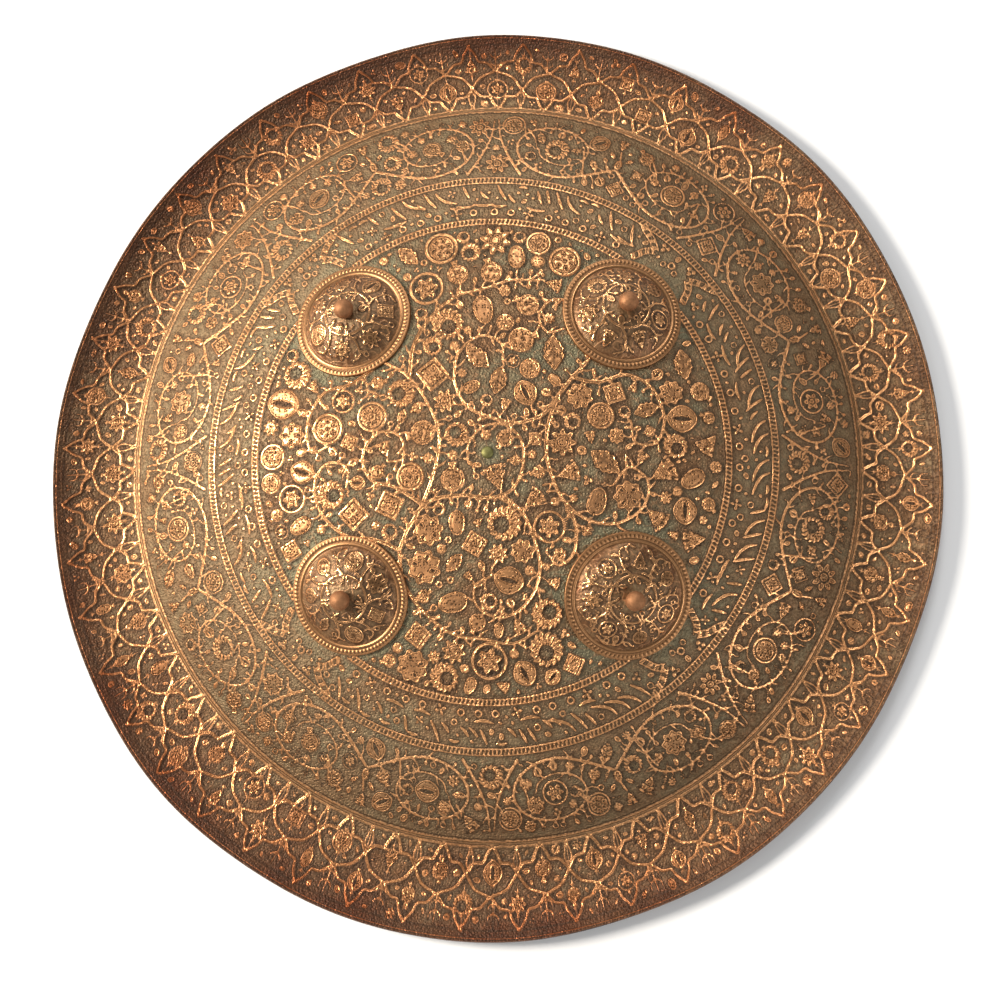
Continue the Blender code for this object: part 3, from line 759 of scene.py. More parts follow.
def chase_inscription(art, sizes, random):
    """Four pointed panels of strokes that spell nothing, over a row of ringlets and stars."""
    edge = OUTER_LINE_RADIUS
    beaded_line(art, arc(edge), sizes)
    height = 1.15 * sizes.stroke_height
    lines = [arc(PANEL_LOW - 0.0012), arc(PANEL_HIGH + 0.0012)]
    for name, degrees in BOSS_ANGLES.items():
        boss = math.radians(degrees)
        for side in (-1, 1):
            lines += boss_bracket(art, boss, side, sizes)
            art.stamp(trefoil, polar(edge - 0.0046, boss + side * 0.064), 0.0030, boss + side, height)
            art.stamp(ringlet, polar(edge - 0.0118, boss + side * 0.028), 0.0017, 0, height)
        art.stamp(bud, polar(edge - 0.0046, boss), 0.0020, boss, height)
        art.stamp(ringlet, polar(edge - 0.0096, boss), 0.0022, 0, height)
        lines.append(boss_centre(name) + arc(boss_radius(name) + 0.0012))
    for middle, half in panel_bounds():
        reach = half - 0.185
        beaded_line(art, arc(INNER_LINE_RADIUS, middle - half + 0.165, middle + half - 0.165), sizes)
        at = middle + reach
        while at > middle - reach:
            kind = random.integers(len(PANEL_STROKES))
            lines.append(panel_stroke(art, at, kind, sizes, random))
            at -= STROKE_SPACING[kind] * random.uniform(0.9, 1.05)
        for k in range(int(2 * reach / RINGLET_SPACING)):
            turn = middle - reach + (k + 0.5) * RINGLET_SPACING + random.normal(0, 0.004)
            motif, size = (star, 0.0030) if k % 4 == 1 else (ringlet, 0.0021)
            art.stamp(motif, panel_spot(turn, 0.13), size, random.uniform(0, TAU), height)
    places = off_the_bosses(scattered(random, PANEL_LOW, PANEL_HIGH, 9000))
    plan = ((0.0027, (star, trefoil), 12), (0.0019, (ringlet, ringlet, bud), 70), (0.0012, (bud,), 90))
    fill_with_flowers(art, random, places, plan, 0.0010, np.concatenate(lines), height)


# Main stems of the centre field in millimetres from the centre rivet, right and up
STEM_ROUTES = (
    ((-42, -45), (-38, -36), (-31, -24), (-25, -8), (-23, 8), (-28, 22), (-38, 36), (-52, 44), (-60, 40),
     (-58, 30)),
    ((-34, -28), (-26, -22), (-12, -20), (2, -21), (12, -17), (17, -6), (16, 6), (8, 13), (-2, 12), (-9, 4),
     (-9, -5)),
    ((6, -21), (16, -27), (22, -39), (25, -54), (20, -68), (8, -76), (-4, -72), (-6, -62), (2, -57)),
    ((40, 36), (34, 28), (26, 18), (14, 14), (0, 17), (-10, 22), (-16, 34), (-14, 48), (-4, 56), (6, 52),
     (7, 43)),
    ((34, 28), (29, 14), (28, 0), (31, -12), (37, -23), (48, -31), (62, -32), (74, -24), (76, -12), (67, -6),
     (60, -14)),
    ((37, -23), (42, -34), (41, -46), (34, -52), (28, -46)),
    ((40, 36), (48, 46), (50, 60), (42, 72), (30, 74), (24, 66), (28, 58), (36, 60)),
    ((40, 36), (52, 34), (66, 38), (78, 32), (84, 18), (80, 6), (70, 6), (68, 16)),
    ((-42, -45), (-54, -40), (-68, -38), (-80, -28), (-84, -14), (-78, -4), (-68, -6), (-68, -16)),
    ((-31, -24), (-44, -16), (-56, -12), (-60, 0), (-52, 10), (-42, 8), (-40, -2), (-47, -4)),
    ((-42, -45), (-40, -60), (-30, -74), (-16, -84), (-2, -86), (12, -88), (24, -82)),
    ((-38, 36), (-36, 52), (-28, 66), (-16, 76), (-2, 80), (10, 84), (24, 84)),
    ((-52, 44), (-66, 34), (-80, 30), (-88, 16), (-86, 2), (-78, 4)),
)


def chase_centre(art, sizes, random):
    """Curling stems with flowers of many kinds, one curl round the centre rivet."""
    height, width = sizes.flower_height, sizes.stem_width / 2
    edge = INNER_LINE_RADIUS - sizes.line_width / 2 - 0.0012
    stems = []
    for points in STEM_ROUTES:
        route = curve_through(np.array(points) / 1000.0)
        leafy_stem(art, route, width, height)
        bare = [from_boss(route, name) > boss_radius(name) + 0.001 for name in BOSS_ANGLES]
        stems.append(route[np.logical_and.reduce(bare) & (np.hypot(*route.T) < edge - 0.001)])
    stems = np.concatenate(stems)
    radii = edge * np.sqrt(random.uniform(0, 1, 16000))
    places = off_the_bosses(ring_points(radii, random.uniform(0, TAU, 16000)))
    rims = [arc(edge + 0.0008), arc(CENTRE_HEAD_RADIUS + 0.001, step=0.001)]
    rims += [boss_centre(name) + arc(boss_radius(name) + 0.0004) for name in BOSS_ANGLES]
    plan = ((0.0083, FLOWERS, 12), (0.0074, FLOWERS, 24), (0.0066, FLOWERS, 30), (0.0058, FLOWERS, 36),
            (0.0050, FLOWERS, 50), (0.0042, FLOWERS, 70), (0.0034, FLOWERS, 110),
            (0.0026, SMALL_FLOWERS, 180), (0.0018, FILLINGS, 400), (0.0013, (almond, bud), 400))
    fill_with_flowers(art, random, places, plan, 0.0003, np.concatenate([stems, *rims]), height, stems)


def chase_boss(art, radius, sizes, random):
    """Ring of small flowers with a curled stem between them, on the crown of a boss."""
    foot = radius - BOSS_FLANGE_WIDTH
    inner = 0.0112
    start = random.uniform(0, TAU)
    height = 0.75 * sizes.flower_height
    half = math.pi / BOSS_FLOWERS
    art.ring(inner, 0.0008, height)
    stems = []
    for k in range(BOSS_FLOWERS):
        turn = start + k * TAU / BOSS_FLOWERS
        size = 0.0047 * random.uniform(0.88, 1.04)
        place = polar((inner + foot) / 2 + random.normal(0, 0.0004), turn)
        art.stamp(FLOWERS[random.integers(len(FLOWERS))], place, size, turn + math.pi, height)
        curl = ((inner, 0.55), (inner + 0.0040, 1.05), (foot - 0.0030, 1.0), (foot - 0.0012, 0.55))
        curl = [polar(out, turn + share * half) for out, share in curl]
        stems.append(art.draw(curl, 0.00065, height, (1.0, 0.6), FINE_STEP))
    stems = np.concatenate(stems)
    places = scattered(random, 0.0062, foot - 0.0008, 3000)
    lines = np.concatenate([stems, arc(foot), arc(inner), arc(0.0052)])
    plan = ((0.0029, FLOWERS, 14), (0.0022, SMALL_FLOWERS, 40), (0.0015, FILLINGS, 80),
            (0.0010, (bud, almond), 120))
    fill_with_flowers(art, random, places, plan, 0.0001, lines, height, stems)


# Meshes


def make_piece(name, places, faces, materials, attributes, sharp=75):
    """One object from arrays: faces is a list of (index array, material index) pairs."""
    mesh = bpy.data.meshes.new(name)
    mesh.vertices.add(len(places))
    mesh.vertices.foreach_set("co", np.asarray(places, np.float32).ravel())
    corners = np.concatenate([group.ravel() for group, _ in faces])
    sizes = np.concatenate([np.full(len(group), group.shape[1]) for group, _ in faces])
    looks = np.concatenate([np.full(len(group), look) for group, look in faces])
    mesh.loops.add(len(corners))
    mesh.loops.foreach_set("vertex_index", corners.astype(np.int32))
    mesh.polygons.add(len(sizes))
    mesh.polygons.foreach_set("loop_start", np.concatenate([[0], np.cumsum(sizes)[:-1]]).astype(np.int32))
    mesh.polygons.foreach_set("material_index", looks.astype(np.int32))
    for material in materials:
        mesh.materials.append(material)
    for key, values in attributes.items():
        mesh.attributes.new(key, "FLOAT", "POINT").data.foreach_set("value", np.asarray(values, np.float32))
    mesh.update(calc_edges=True)
    mesh.shade_smooth()
    mesh.set_sharp_from_angle(angle=math.radians(sharp))
    piece = bpy.data.objects.new(name, mesh)
    bpy.context.scene.collection.objects.link(piece)
    return piece


def ring_quads(upper, lower):
    """Quads between two closed rows of equal length, facing left of the way from upper to lower."""
    return np.stack([upper, lower, np.roll(lower, -1), np.roll(upper, -1)], axis=1)


def fan_to(row, point):
    """Triangles from a closed row to one point."""
    return np.stack([row, np.full(len(row), point), np.roll(row, -1)], axis=1)


def coarsen(fine, coarse):
    """Faces, as seen from above, from an inner row with fewer points out to a row with more."""
    times = len(fine) // len(coarse)
    wrapped = np.append(fine, fine[0])
    return np.array([[coarse[k], *wrapped[k * times:(k + 1) * times + 1], coarse[(k + 1) % len(coarse)]]
                     for k in range(len(coarse))])


def layout_rows(radii, columns):
    """Layout points of rows round the middle, row by row."""
    return ring_points(np.asarray(radii)[:, None], even_turns(columns)).reshape(-1, 2)


def placed(local, matrix):
    """Points moved by a 4 by 4 matrix."""
    matrix = np.array(matrix)
    return local @ matrix[:3, :3].T + matrix[:3, 3]


def lathe(radii, heights, turns):
    """Points of a turned form, row by row."""
    rows = np.broadcast_arrays(radii * np.cos(turns), radii * np.sin(turns), heights)
    return np.stack(rows, axis=2).reshape(-1, 3)


def patina_near_bosses(flat):
    """How green the ground is: most beside the bosses, round the centre rivet and in the middle."""
    radius = np.hypot(flat[:, 0], flat[:, 1])
    amount = 0.55 * np.exp(-(radius / 0.030) ** 2)
    for name in BOSS_ANGLES:
        away = from_boss(flat, name) - boss_radius(name)
        amount = np.maximum(amount, 0.9 * np.exp(-(np.clip(away, 0, None) / 0.013) ** 2))
    wide = ripple(flat, 18, 0.02, 0.07, 5)
    dome = smooth_step((CREASE_RADIUS + 0.004 - radius) / 0.012)
    return np.clip((0.62 * amount + 0.25 + 1.3 * wide) * (0.35 + 0.65 * dome), 0, 1)


def film_of_the_bands(flat):
    """How far a dull film covers the raised work: most on the panels and scrolls, and at the upper left."""
    radius, turn = round_view(flat[:, 0], flat[:, 1])
    fade = 0.012
    amount = smooth_step((radius - CENTRE_EDGE) / fade) * smooth_step((CREASE_RADIUS + fade - radius) / fade)
    return np.clip(amount * (0.80 + 0.20 * np.cos(turn - math.radians(135))) + 0.15, 0, 1)


def painted_shade_and_tone_of_the_rim(flat):
    """How much painted shade darkens and reddens the rim: most toward its edge, at the top left and the lower
    left, with random tone over it.
    """
    radius, turn = round_view(flat[:, 0], flat[:, 1])
    share = (radius - CREASE_RADIUS) / (RIM_RADIUS - CREASE_RADIUS)
    facing = np.maximum(np.cos(turn - math.radians(112)), np.cos(turn - math.radians(247)))
    facing = smooth_step(facing / 1.05)
    amount = smooth_step((share - 0.50) / 0.50) * (0.28 + 0.30 * facing)
    amount += 0.38 * facing * smooth_step(share / 0.3)
    return np.clip(amount + 0.5 * ripple(flat, 16, 0.03, 0.09, 8) * (share > 0), 0, 1)


def front_points(art, flat, sizes):
    """Worked face: positions, and what the finish needs to know of each point."""
    height = art.read(art.height, flat)
    height = height * (1 + 0.35 * ripple(flat, 14, 0.006, 0.03, 11))
    dents = sizes.dent_depth * ripple(flat, 20, 0.025, 0.07, 3)
    places = surface(flat) + (height + dents)[:, None] * surface_normals(flat)
    return places, {"relief": height / sizes.flower_height, "cavity": art.read(art.cavity, flat),
                    "depth": 1000 * art.read(art.depth, flat), "seeds": art.read(art.seeds, flat),
                    "patina": patina_near_bosses(flat), "painted_rim_shade_and_tone": painted_shade_and_tone_of_the_rim(flat),
                    "film": film_of_the_bands(flat)}


def back_points(flat):
    """Plain back: the sheet's thickness below the face, and flat on the resting ring."""
    places = surface(flat) - SHEET_THICKNESS * surface_normals(flat)
    radius = np.hypot(flat[:, 0], flat[:, 1])
    on_ring = np.abs(radius - REST_RING_RADIUS) < REST_RING_WIDTH / 2 + 1e-6
    places[on_ring, 2] = 0
    return places


def back_radii(inner, outer):
    """Radii of the plain rows on the back, with the edges of the resting ring where they fall."""
    radii = list(np.linspace(inner, outer, max(3, int((outer - inner) / 0.006)) + 1)[1:-1])
    for edge in (REST_RING_RADIUS - REST_RING_WIDTH / 2, REST_RING_RADIUS + REST_RING_WIDTH / 2):
        if inner < edge < outer:
            radii = [r for r in radii if abs(r - edge) > 0.0022] + [edge]
    return sorted(radii)


def finish_attributes(front, total):
    """Give the plain back and edges even values of the face's attributes."""
    plain = {"relief": 0.45, "patina": 0.15, "depth": PLAIN_DEPTH, "painted_rim_shade_and_tone": 0.2}
    return {key: np.concatenate([values, np.full(total - len(values), plain.get(key, 0.0))])
            for key, values in front.items()}


def ring_zone(name, art, sizes, looks, inner, outer, columns, rows):
    """A closed ring of the sheet: worked face, plain back, edges of the true thickness."""
    flat = layout_rows(np.linspace(inner, outer, rows + 1), columns)
    places, attributes = front_points(art, flat, sizes)
    front = np.arange(len(flat)).reshape(rows + 1, columns)
    coarse = columns // COARSER
    radii = back_radii(inner, outer)
    back_flat = np.concatenate([layout_rows([inner, outer], columns), layout_rows(radii, coarse)])
    back = len(places) + np.arange(len(back_flat))
    inner_row, outer_row = back[:columns], back[columns:2 * columns]
    plain = back[2 * columns:].reshape(len(radii), coarse)
    faces = [(ring_quads(front[k], front[k + 1]), 0) for k in range(rows)]
    faces.append((ring_quads(front[rows], outer_row), 1))
    faces.append((ring_quads(inner_row, front[0]), 1))
    faces += [(ring_quads(plain[k + 1], plain[k]), 1) for k in range(len(radii) - 1)]
    faces.append((coarsen(outer_row, plain[-1])[:, ::-1], 1))
    faces.append((coarsen(inner_row, plain[0]), 1))
    places = np.concatenate([places, back_points(back_flat)])
    return make_piece(name, places, faces, looks, finish_attributes(attributes, len(places)))


def square_disc(radius, cells):
    """Layout points of a square grid drawn out to a disc."""
    steps = np.linspace(-1, 1, cells + 1)
    a, b = (axis.ravel() for axis in np.meshgrid(steps, steps))
    wide = np.abs(a) > np.abs(b)
    safe_a, safe_b = np.where(a == 0, 1, a), np.where(b == 0, 1, b)
    turn = np.where(wide, math.pi / 4 * b / safe_a, math.pi / 2 - math.pi / 4 * a / safe_b)
    return ring_points(radius * np.where(wide, a, b), turn)


def centre_zone(name, art, sizes, looks, outer, cells):
    """The middle of the sheet, on a square grid drawn out to a disc so that no point is crowded."""
    flat = square_disc(outer, cells)
    places, attributes = front_points(art, flat, sizes)
    grid = np.arange(len(flat)).reshape(cells + 1, cells + 1)
    quads = np.stack([grid[:-1, :-1], grid[:-1, 1:], grid[1:, 1:], grid[1:, :-1]], axis=2).reshape(-1, 4)
    rim = np.concatenate([grid[0, :-1], grid[:-1, -1], grid[-1, :0:-1], grid[:0:-1, 0]])
    columns = len(rim)
    coarse = columns // COARSER
    radii = np.linspace(outer, 0, 12)[1:-1]
    turns = math.atan2(flat[rim[0], 1], flat[rim[0], 0]) + even_turns(coarse)
    rows = ring_points(radii[:, None], turns).reshape(-1, 2)
    back_flat = np.concatenate([flat[rim], rows, np.zeros((1, 2))])
    back = len(places) + np.arange(len(back_flat))
    outer_row, hub = back[:columns], back[-1]
    plain = back[columns:-1].reshape(len(radii), coarse)
    faces = [(quads, 0), (ring_quads(rim, outer_row), 1), (coarsen(outer_row, plain[0])[:, ::-1], 1)]
    faces += [(ring_quads(plain[k], plain[k + 1]), 1) for k in range(len(radii) - 1)]
    faces.append((fan_to(plain[-1], hub), 1))
    places = np.concatenate([places, back_points(back_flat)])
    return make_piece(name, places, faces, looks, finish_attributes(attributes, len(places)))


def seat_drop(radius):
    """How far the dome falls away under a boss, by the distance from the boss's middle."""
    return DOME_RADIUS - np.sqrt(DOME_RADIUS ** 2 - radius ** 2)


def cap_height(radius, base_radius, base_height, top):
    """Height of a ball's cap with this base and top."""
    rise = top - base_height
    ball = (base_radius ** 2 + rise ** 2) / (2 * rise)
    return top - ball + np.sqrt(ball ** 2 - radius ** 2)


# Rise of a boss's flange in shares of the rope's height, by the share of the flange's width
FLANGE_PROFILE = ((0.06, 0.0), (0.14, 0.45), (0.22, 0.75), (0.30, 0.45), (0.38, 0.05), (0.46, 0.15),
                  (0.54, 0.75), (0.62, 1.0), (0.70, 1.0), (0.78, 0.75), (0.86, 0.15), (0.93, 0.35),
                  (0.98, 0.1), (1.0, -0.5))
CROWN_ROWS = 40


def boss_section(radius, sizes):
    """Radii and heights from the rivet hole out over the crown and flange, then back underneath."""
    hole = KNOB_SHANK_RADIUS + SEAT_GAP
    foot = radius - BOSS_FLANGE_WIDTH
    flange_top = SEAT_GAP - seat_drop(foot) + BOSS_FLANGE_THICKNESS
    section = [(r, cap_height(r, foot, flange_top, BOSS_HEIGHT)) for r in np.linspace(hole, foot, CROWN_ROWS)]
    for step, rise in FLANGE_PROFILE:
        r = foot + step * BOSS_FLANGE_WIDTH
        section.append((r, SEAT_GAP - seat_drop(r) + BOSS_FLANGE_THICKNESS + rise * sizes.rope_height))
    inner = foot - BOSS_WALL
    section += [(r, FLANGE_GAP - seat_drop(r)) for r in (radius, inner)]
    for r in (0.7 * inner, 0.4 * inner, hole):
        section.append((r, cap_height(r, inner, SEAT_GAP - seat_drop(inner), BOSS_HEIGHT - BOSS_WALL)))
    return np.array(section)


def boss_piece(name, art, sizes, looks, columns=352):
    """Hollow turned boss with a chased crown and a roped flange."""
    radius = boss_radius(name)
    section = boss_section(radius, sizes)
    turns = even_turns(columns)
    r, z = section[:, 0], section[:, 1]
    run = np.gradient(section, axis=0)
    normal = np.stack([-run[:, 1], run[:, 0]], axis=1)
    normal /= np.linalg.norm(normal, axis=1, keepdims=True)
    flat = layout_rows(r, columns)
    rasters = (art.height, art.cavity, art.seeds, art.depth)
    height, cavity, seeds, depth = (art.read(raster, flat).reshape(len(r), columns) for raster in rasters)
    depth = 1000 * depth
    crown = CROWN_ROWS
    for rows, plain in ((height, 0), (cavity, 0), (seeds, 0), (depth, PLAIN_DEPTH)):
        rows[crown:] = plain
    dents = ripple(flat, 16, 0.008, 0.03, 21).reshape(height.shape)
    height[:crown] += sizes.dent_depth * 0.6 * dents[:crown]
    rope, bead = slice(crown + 6, crown + 10), slice(crown, crown + 5)
    twist = np.cos(sizes.rope_ticks * turns[None, :] + 0.3 * np.arange(4)[:, None])
    height[rope] += 0.45 * sizes.rope_height * (twist - 1)
    # Dirt and painted shade between the rope's turns and beside the bead, wear with a painted highlight on
    # the bead's crest
    cavity[rope] = 0.5 * (0.4 - twist)
    cavity[bead] = np.array([0.5, 0.0, -0.5, 0.1, 0.6])[:, None]
    local = lathe(r[:, None] + height * normal[:, :1], z[:, None] + height * normal[:, 1:], turns)
    places = placed(local, seat_frame(boss_centre(name)))
    grid = np.arange(len(places)).reshape(len(r), columns)
    faces = [(ring_quads(grid[k], grid[(k + 1) % len(r)]), 0) for k in range(len(r))]
    relief = height / (0.75 * sizes.flower_height)
    relief[crown:] = 0.85
    wear = np.clip(0.4 + 0.9 * (r / radius - 0.45), 0, 1)
    attributes = {"relief": relief.ravel(), "cavity": cavity.ravel(), "seeds": seeds.ravel(),
                  "depth": depth.ravel(), "patina": np.repeat(0.5 * (1 - wear), columns)}
    return make_piece("chased_boss_" + name, places, faces, looks, attributes, sharp=60)


def turned_piece(name, section, columns, matrix, looks, unevenness, seed, wear):
    """Rivet turned from (radius, height) points, top to bottom, its surface a little uneven."""
    section = np.array(section)
    middle = section[1:-1]
    poles = np.array([(0, 0, section[0, 1]), (0, 0, section[-1, 1])])
    local = np.concatenate([lathe(middle[:, :1], middle[:, 1:], even_turns(columns)), poles])
    swell = 1 + unevenness * ripple(local[:, [0, 2]] + local[:, [1, 1]], 9, 0.003, 0.009, seed)
    local[:, :2] *= swell[:, None]
    places = placed(local, matrix)
    grid = np.arange(len(middle) * columns).reshape(len(middle), columns)
    faces = [(ring_quads(grid[k], grid[k + 1]), 0) for k in range(len(middle) - 1)]
    top, bottom = len(places) - 2, len(places) - 1
    faces += [(fan_to(grid[0], top)[:, [1, 0, 2]], 0), (fan_to(grid[-1], bottom), 0)]
    even = {"relief": wear, "cavity": 0.0, "patina": 0.2, "depth": PLAIN_DEPTH}
    attributes = {key: np.full(len(places), value) for key, value in even.items()}
    return make_piece(name, places, faces, looks, attributes, sharp=50)


def rivet_section(head, shank, tail_radius, tail_thickness):
    """Points of a rivet from the top of its head down its shank and round its tail."""
    under = -(SHEET_THICKNESS + SEAT_GAP)
    end = under - tail_thickness
    tail = []
    for bend in np.linspace(0, math.pi / 2, 6):
        drop = (under - end) * math.sin(bend)
        tail.append((tail_radius * (0.8 + 0.2 * math.cos(bend)), under + HAIR - drop))
    flat_end = [(tail_radius * share, end) for share in (0.6, 0.3)]
    return head + [(shank, head[-1][1]), (shank, under), (tail_radius, under)] + tail + flat_end + [(0, end)]


def knob_section():
    """Ball head on its shank, from the top down to the peened tail."""
    seat = BOSS_HEIGHT + HAIR
    ball = KNOB_RADIUS - KNOB_INSET
    centre = BOSS_HEIGHT + SEAT_GAP + KNOB_SEAT_SHARE * KNOB_RADIUS - HAIR
    last = math.acos(-(centre - seat) / ball)
    head = [(ball * math.sin(b), centre + ball * math.cos(b)) for b in np.linspace(0, last, 22)]
    return rivet_section(head, KNOB_SHANK_RADIUS, KNOB_TAIL_RADIUS, KNOB_TAIL_THICKNESS)


def centre_section():
    """Low round head on its shank, from the top down to the peened tail."""
    bends = np.linspace(0, math.pi / 2, 10)
    head = [(CENTRE_HEAD_RADIUS * math.sin(b), HAIR + CENTRE_HEAD_HEIGHT * math.cos(b) ** 1.3) for b in bends]
    return rivet_section(head, CENTRE_SHANK_RADIUS, CENTRE_TAIL_RADIUS, CENTRE_TAIL_THICKNESS)


# Finishes


class Graph:
    """Short way to place and join shader nodes."""

    def __init__(self, tree):
        self.tree = tree

    def add(self, kind, values=None, **settings):
        node = self.tree.nodes.new(kind)
        for key, value in settings.items():
            setattr(node, key, value)
        for key, value in (values or {}).items():
            self.put(node.inputs[key], value)
        return node

    def put(self, socket, value):
        if isinstance(value, bpy.types.NodeSocket):
            self.tree.links.new(value, socket)
        else:
            socket.default_value = value

    def math(self, operation, a, b=0.0, clamp=False):
        return self.add("ShaderNodeMath", {0: a, 1: b}, operation=operation, use_clamp=clamp).outputs[0]

    def times(self, a, b, clamp=False):
        return self.math("MULTIPLY", a, b, clamp)

    def plus(self, a, b, clamp=False):
        return self.math("ADD", a, b, clamp)

    def minus(self, a, b):
        return self.math("SUBTRACT", a, b)

    def swing(self, value, width):
        """A value about one half, moved to zero and widened."""
        return self.times(self.minus(value, 0.5), width)

    def mix(self, share, a, b, blend="MIX"):
        node = self.add("ShaderNodeMix", data_type="RGBA", blend_type=blend)
        for socket, value in zip((node.inputs[0], node.inputs[6], node.inputs[7]), (share, a, b)):
            self.put(socket, value)
        return node.outputs[2]

    def tint(self, colour, filter_colour):
        return self.mix(1.0, colour, filter_colour, "MULTIPLY")

    def span(self, value, low, high, to_low=0.0, to_high=1.0):
        values = {0: value, 1: low, 2: high, 3: to_low, 4: to_high}
        return self.add("ShaderNodeMapRange", values).outputs[0]

    def noise(self, place, scale, detail=3.0, roughness=0.55):
        values = {"Vector": place, "Scale": scale, "Detail": detail, "Roughness": roughness}
        return self.add("ShaderNodeTexNoise", values).outputs[0]

    def cells(self, place, scale, feature="F1", **values):
        """Distance to the nearest of many scattered points."""
        values = {"Vector": place, "Scale": scale, **values}
        return self.add("ShaderNodeTexVoronoi", values, feature=feature).outputs["Distance"]


def new_group(name, inputs, outputs):
    """Node group with float inputs, or colour ones where the default has four parts."""
    group = bpy.data.node_groups.new(name, "ShaderNodeTree")
    for key, value in inputs.items():
        kind = "NodeSocketColor" if isinstance(value, tuple) else "NodeSocketFloat"
        group.interface.new_socket(key, in_out="INPUT", socket_type=kind).default_value = value
    for key, kind in outputs.items():
        group.interface.new_socket(key, in_out="OUTPUT", socket_type=kind)
    graph = Graph(group)
    return group, graph, graph.add("NodeGroupInput").outputs, graph.add("NodeGroupOutput").inputs


def outline_masks(g, place, depth):
    """Masks along the outline of the relief: foot outside it, arris just inside it and groove further in."""
    wobble = g.plus(depth, g.swing(g.noise(place, 520.0, 1.0), 0.30))
    bands = ((-0.62, -0.22, 0.10, -0.12), (0.02, 0.20, 0.58, 0.38), (0.52, 0.70, 1.02, 0.84))
    return [g.times(g.span(wobble, a, b), g.span(wobble, c, d)) for a, b, c, d in bands]


def copper_ground(g, given, middling, patina):
    """Colour of the mottled ground, warmer where it has little patina."""
    ground = given["Ground"]
    ground = g.mix(g.span(middling, 0.38, 0.62), g.tint(ground, (0.72, 0.60, 0.52, 1)), ground)
    return g.mix(g.span(patina, 0.0, 0.30), g.tint(ground, (1.0, 0.78, 0.66, 1)), ground)


def worn_copper_group():
    """Copper rubbed bright on the raised work, with a painted highlight along its edges, dull and greenish in
    the ground between, with dirt and painted shade in the hollows and painted shade on the rim.
    """
    white, black = (1, 1, 1, 1), (0, 0, 0, 1)
    inputs = {"Relief": 0.5, "Cavity": 0.0, "Patina": 0.3, "Bright": white, "Middle": white, "Ground": white,
              "Green": white, "Dark": black, "Wear and highlight": 0.5, "Seeds": 0.0, "Painted rim shade and tone": 0.0, "Gloss": 0.0,
              "Tendrils": 0.0, "Depth": PLAIN_DEPTH, "Film": 0.0}
    outputs = {"Colour": "NodeSocketColor", "Roughness": "NodeSocketFloat", "Metallic": "NodeSocketFloat",
               "Height": "NodeSocketFloat"}
    group, g, given, out = new_group("Worn copper", inputs, outputs)
    dark = given["Dark"]
    place = g.add("ShaderNodeTexCoord").outputs["Object"]
    broad, middling, fine = g.noise(place, 22.0, 4.0), g.noise(place, 130.0), g.noise(place, 900.0, 2.0)
    uneven = g.plus(g.swing(broad, 0.55), g.swing(middling, 0.5))
    level = g.plus(given["Relief"], uneven)
    patina = g.plus(given["Patina"], uneven)
    raised = g.span(level, 0.10, 0.62)
    foot, arris, groove = outline_masks(g, place, given["Depth"])

    # Ground, green deposit, raised work, tendrils in the ground and the film over it all
    green = g.times(g.span(patina, 0.42, 0.85), g.span(level, 0.45, 0.05))
    colour = g.mix(g.times(green, 0.68), copper_ground(g, given, middling, patina), given["Green"])
    colour = g.mix(raised, colour, given["Middle"])
    curls = g.math("ABSOLUTE", g.minus(g.noise(place, 210.0, 0.0), 0.5))
    tendrils = g.times(g.times(g.span(curls, 0.045, 0.012), g.span(level, 0.42, 0.18)), given["Tendrils"])
    colour = g.mix(tendrils, colour, given["Middle"])
    patches = g.span(g.plus(broad, g.times(middling, 0.6)), 0.50, 1.05, 0.95, 0.40)
    film = g.times(given["Film"], patches)
    veil = g.mix(0.22, g.mix(0.15, given["Ground"], given["Bright"]), given["Green"])
    colour = g.mix(g.times(film, 0.70), colour, veil)

    # Rubbed edges with a painted highlight along the arris, the groove, speckles, and painted shade with
    # random tone on the rim
    wear_and_highlight = g.span(g.plus(g.times(level, 0.62), g.times(given["Cavity"], -1.7)), 0.52, 1.22)
    wear_and_highlight = g.times(wear_and_highlight, g.plus(0.35, given["Wear and highlight"]), clamp=True)
    wear_and_highlight = g.times(wear_and_highlight, g.minus(1.0, g.times(film, 0.66)))
    # Painted highlight: a bright line along the edge of the raised work, added to the wear
    wear_and_highlight = g.plus(wear_and_highlight, g.times(arris, 0.60), clamp=True)
    colour = g.mix(g.times(groove, 0.50), g.mix(wear_and_highlight, colour, given["Bright"]), dark)
    speckle = g.times(g.span(fine, 0.30, 0.70, -0.34, 0.34), g.span(level, 0.9, 0.1, 0.35, 1.0))
    speckle = g.plus(1.0, speckle)
    grey = g.add("ShaderNodeCombineColor", {0: speckle, 1: speckle, 2: speckle}).outputs[0]
    colour = g.tint(colour, grey)
    # Painted shade: the rim darkened and reddened, most at its edge, top left and lower left, with random
    # tone
    colour = g.mix(given["Painted rim shade and tone"], colour, g.tint(colour, (0.50, 0.30, 0.26, 1)))

    # Pits in the seeded grounds of the flowers, and dirt with painted shade in the hollows and along the foot
    # of the relief
    pits = g.times(g.span(g.cells(place, 720.0, Randomness=0.6), 0.42, 0.22), given["Seeds"])
    colour = g.mix(g.times(pits, 0.82), colour, dark)
    # Dirt and painted shade: darker in the hollows and in a band just outside the raised work
    hollow = g.math("MAXIMUM", g.span(given["Cavity"], 0.06, 0.70, 0.0, 0.90), g.times(foot, 0.74))
    g.put(out["Colour"], g.mix(hollow, colour, dark))

    rough = g.minus(g.minus(0.60, given["Gloss"]), g.times(wear_and_highlight, 0.27))
    g.put(out["Roughness"], g.plus(rough, g.swing(middling, 0.22), clamp=True))
    g.put(out["Metallic"], g.span(g.minus(raised, g.times(green, 0.5)), 0.0, 1.0, 0.62, 1.0))
    stipple = g.times(g.span(g.cells(place, 820.0), 0.1, 0.6, 0.0, 1.7), g.span(level, 0.5, 0.1))
    marks = g.plus(g.plus(stipple, g.times(g.noise(place, 420.0, 2.0), 0.5)), g.times(tendrils, 1.2))
    marks = g.plus(marks, g.minus(arris, g.times(groove, 0.9)))
    g.put(out["Height"], g.minus(marks, g.times(pits, 1.4)))
    return group


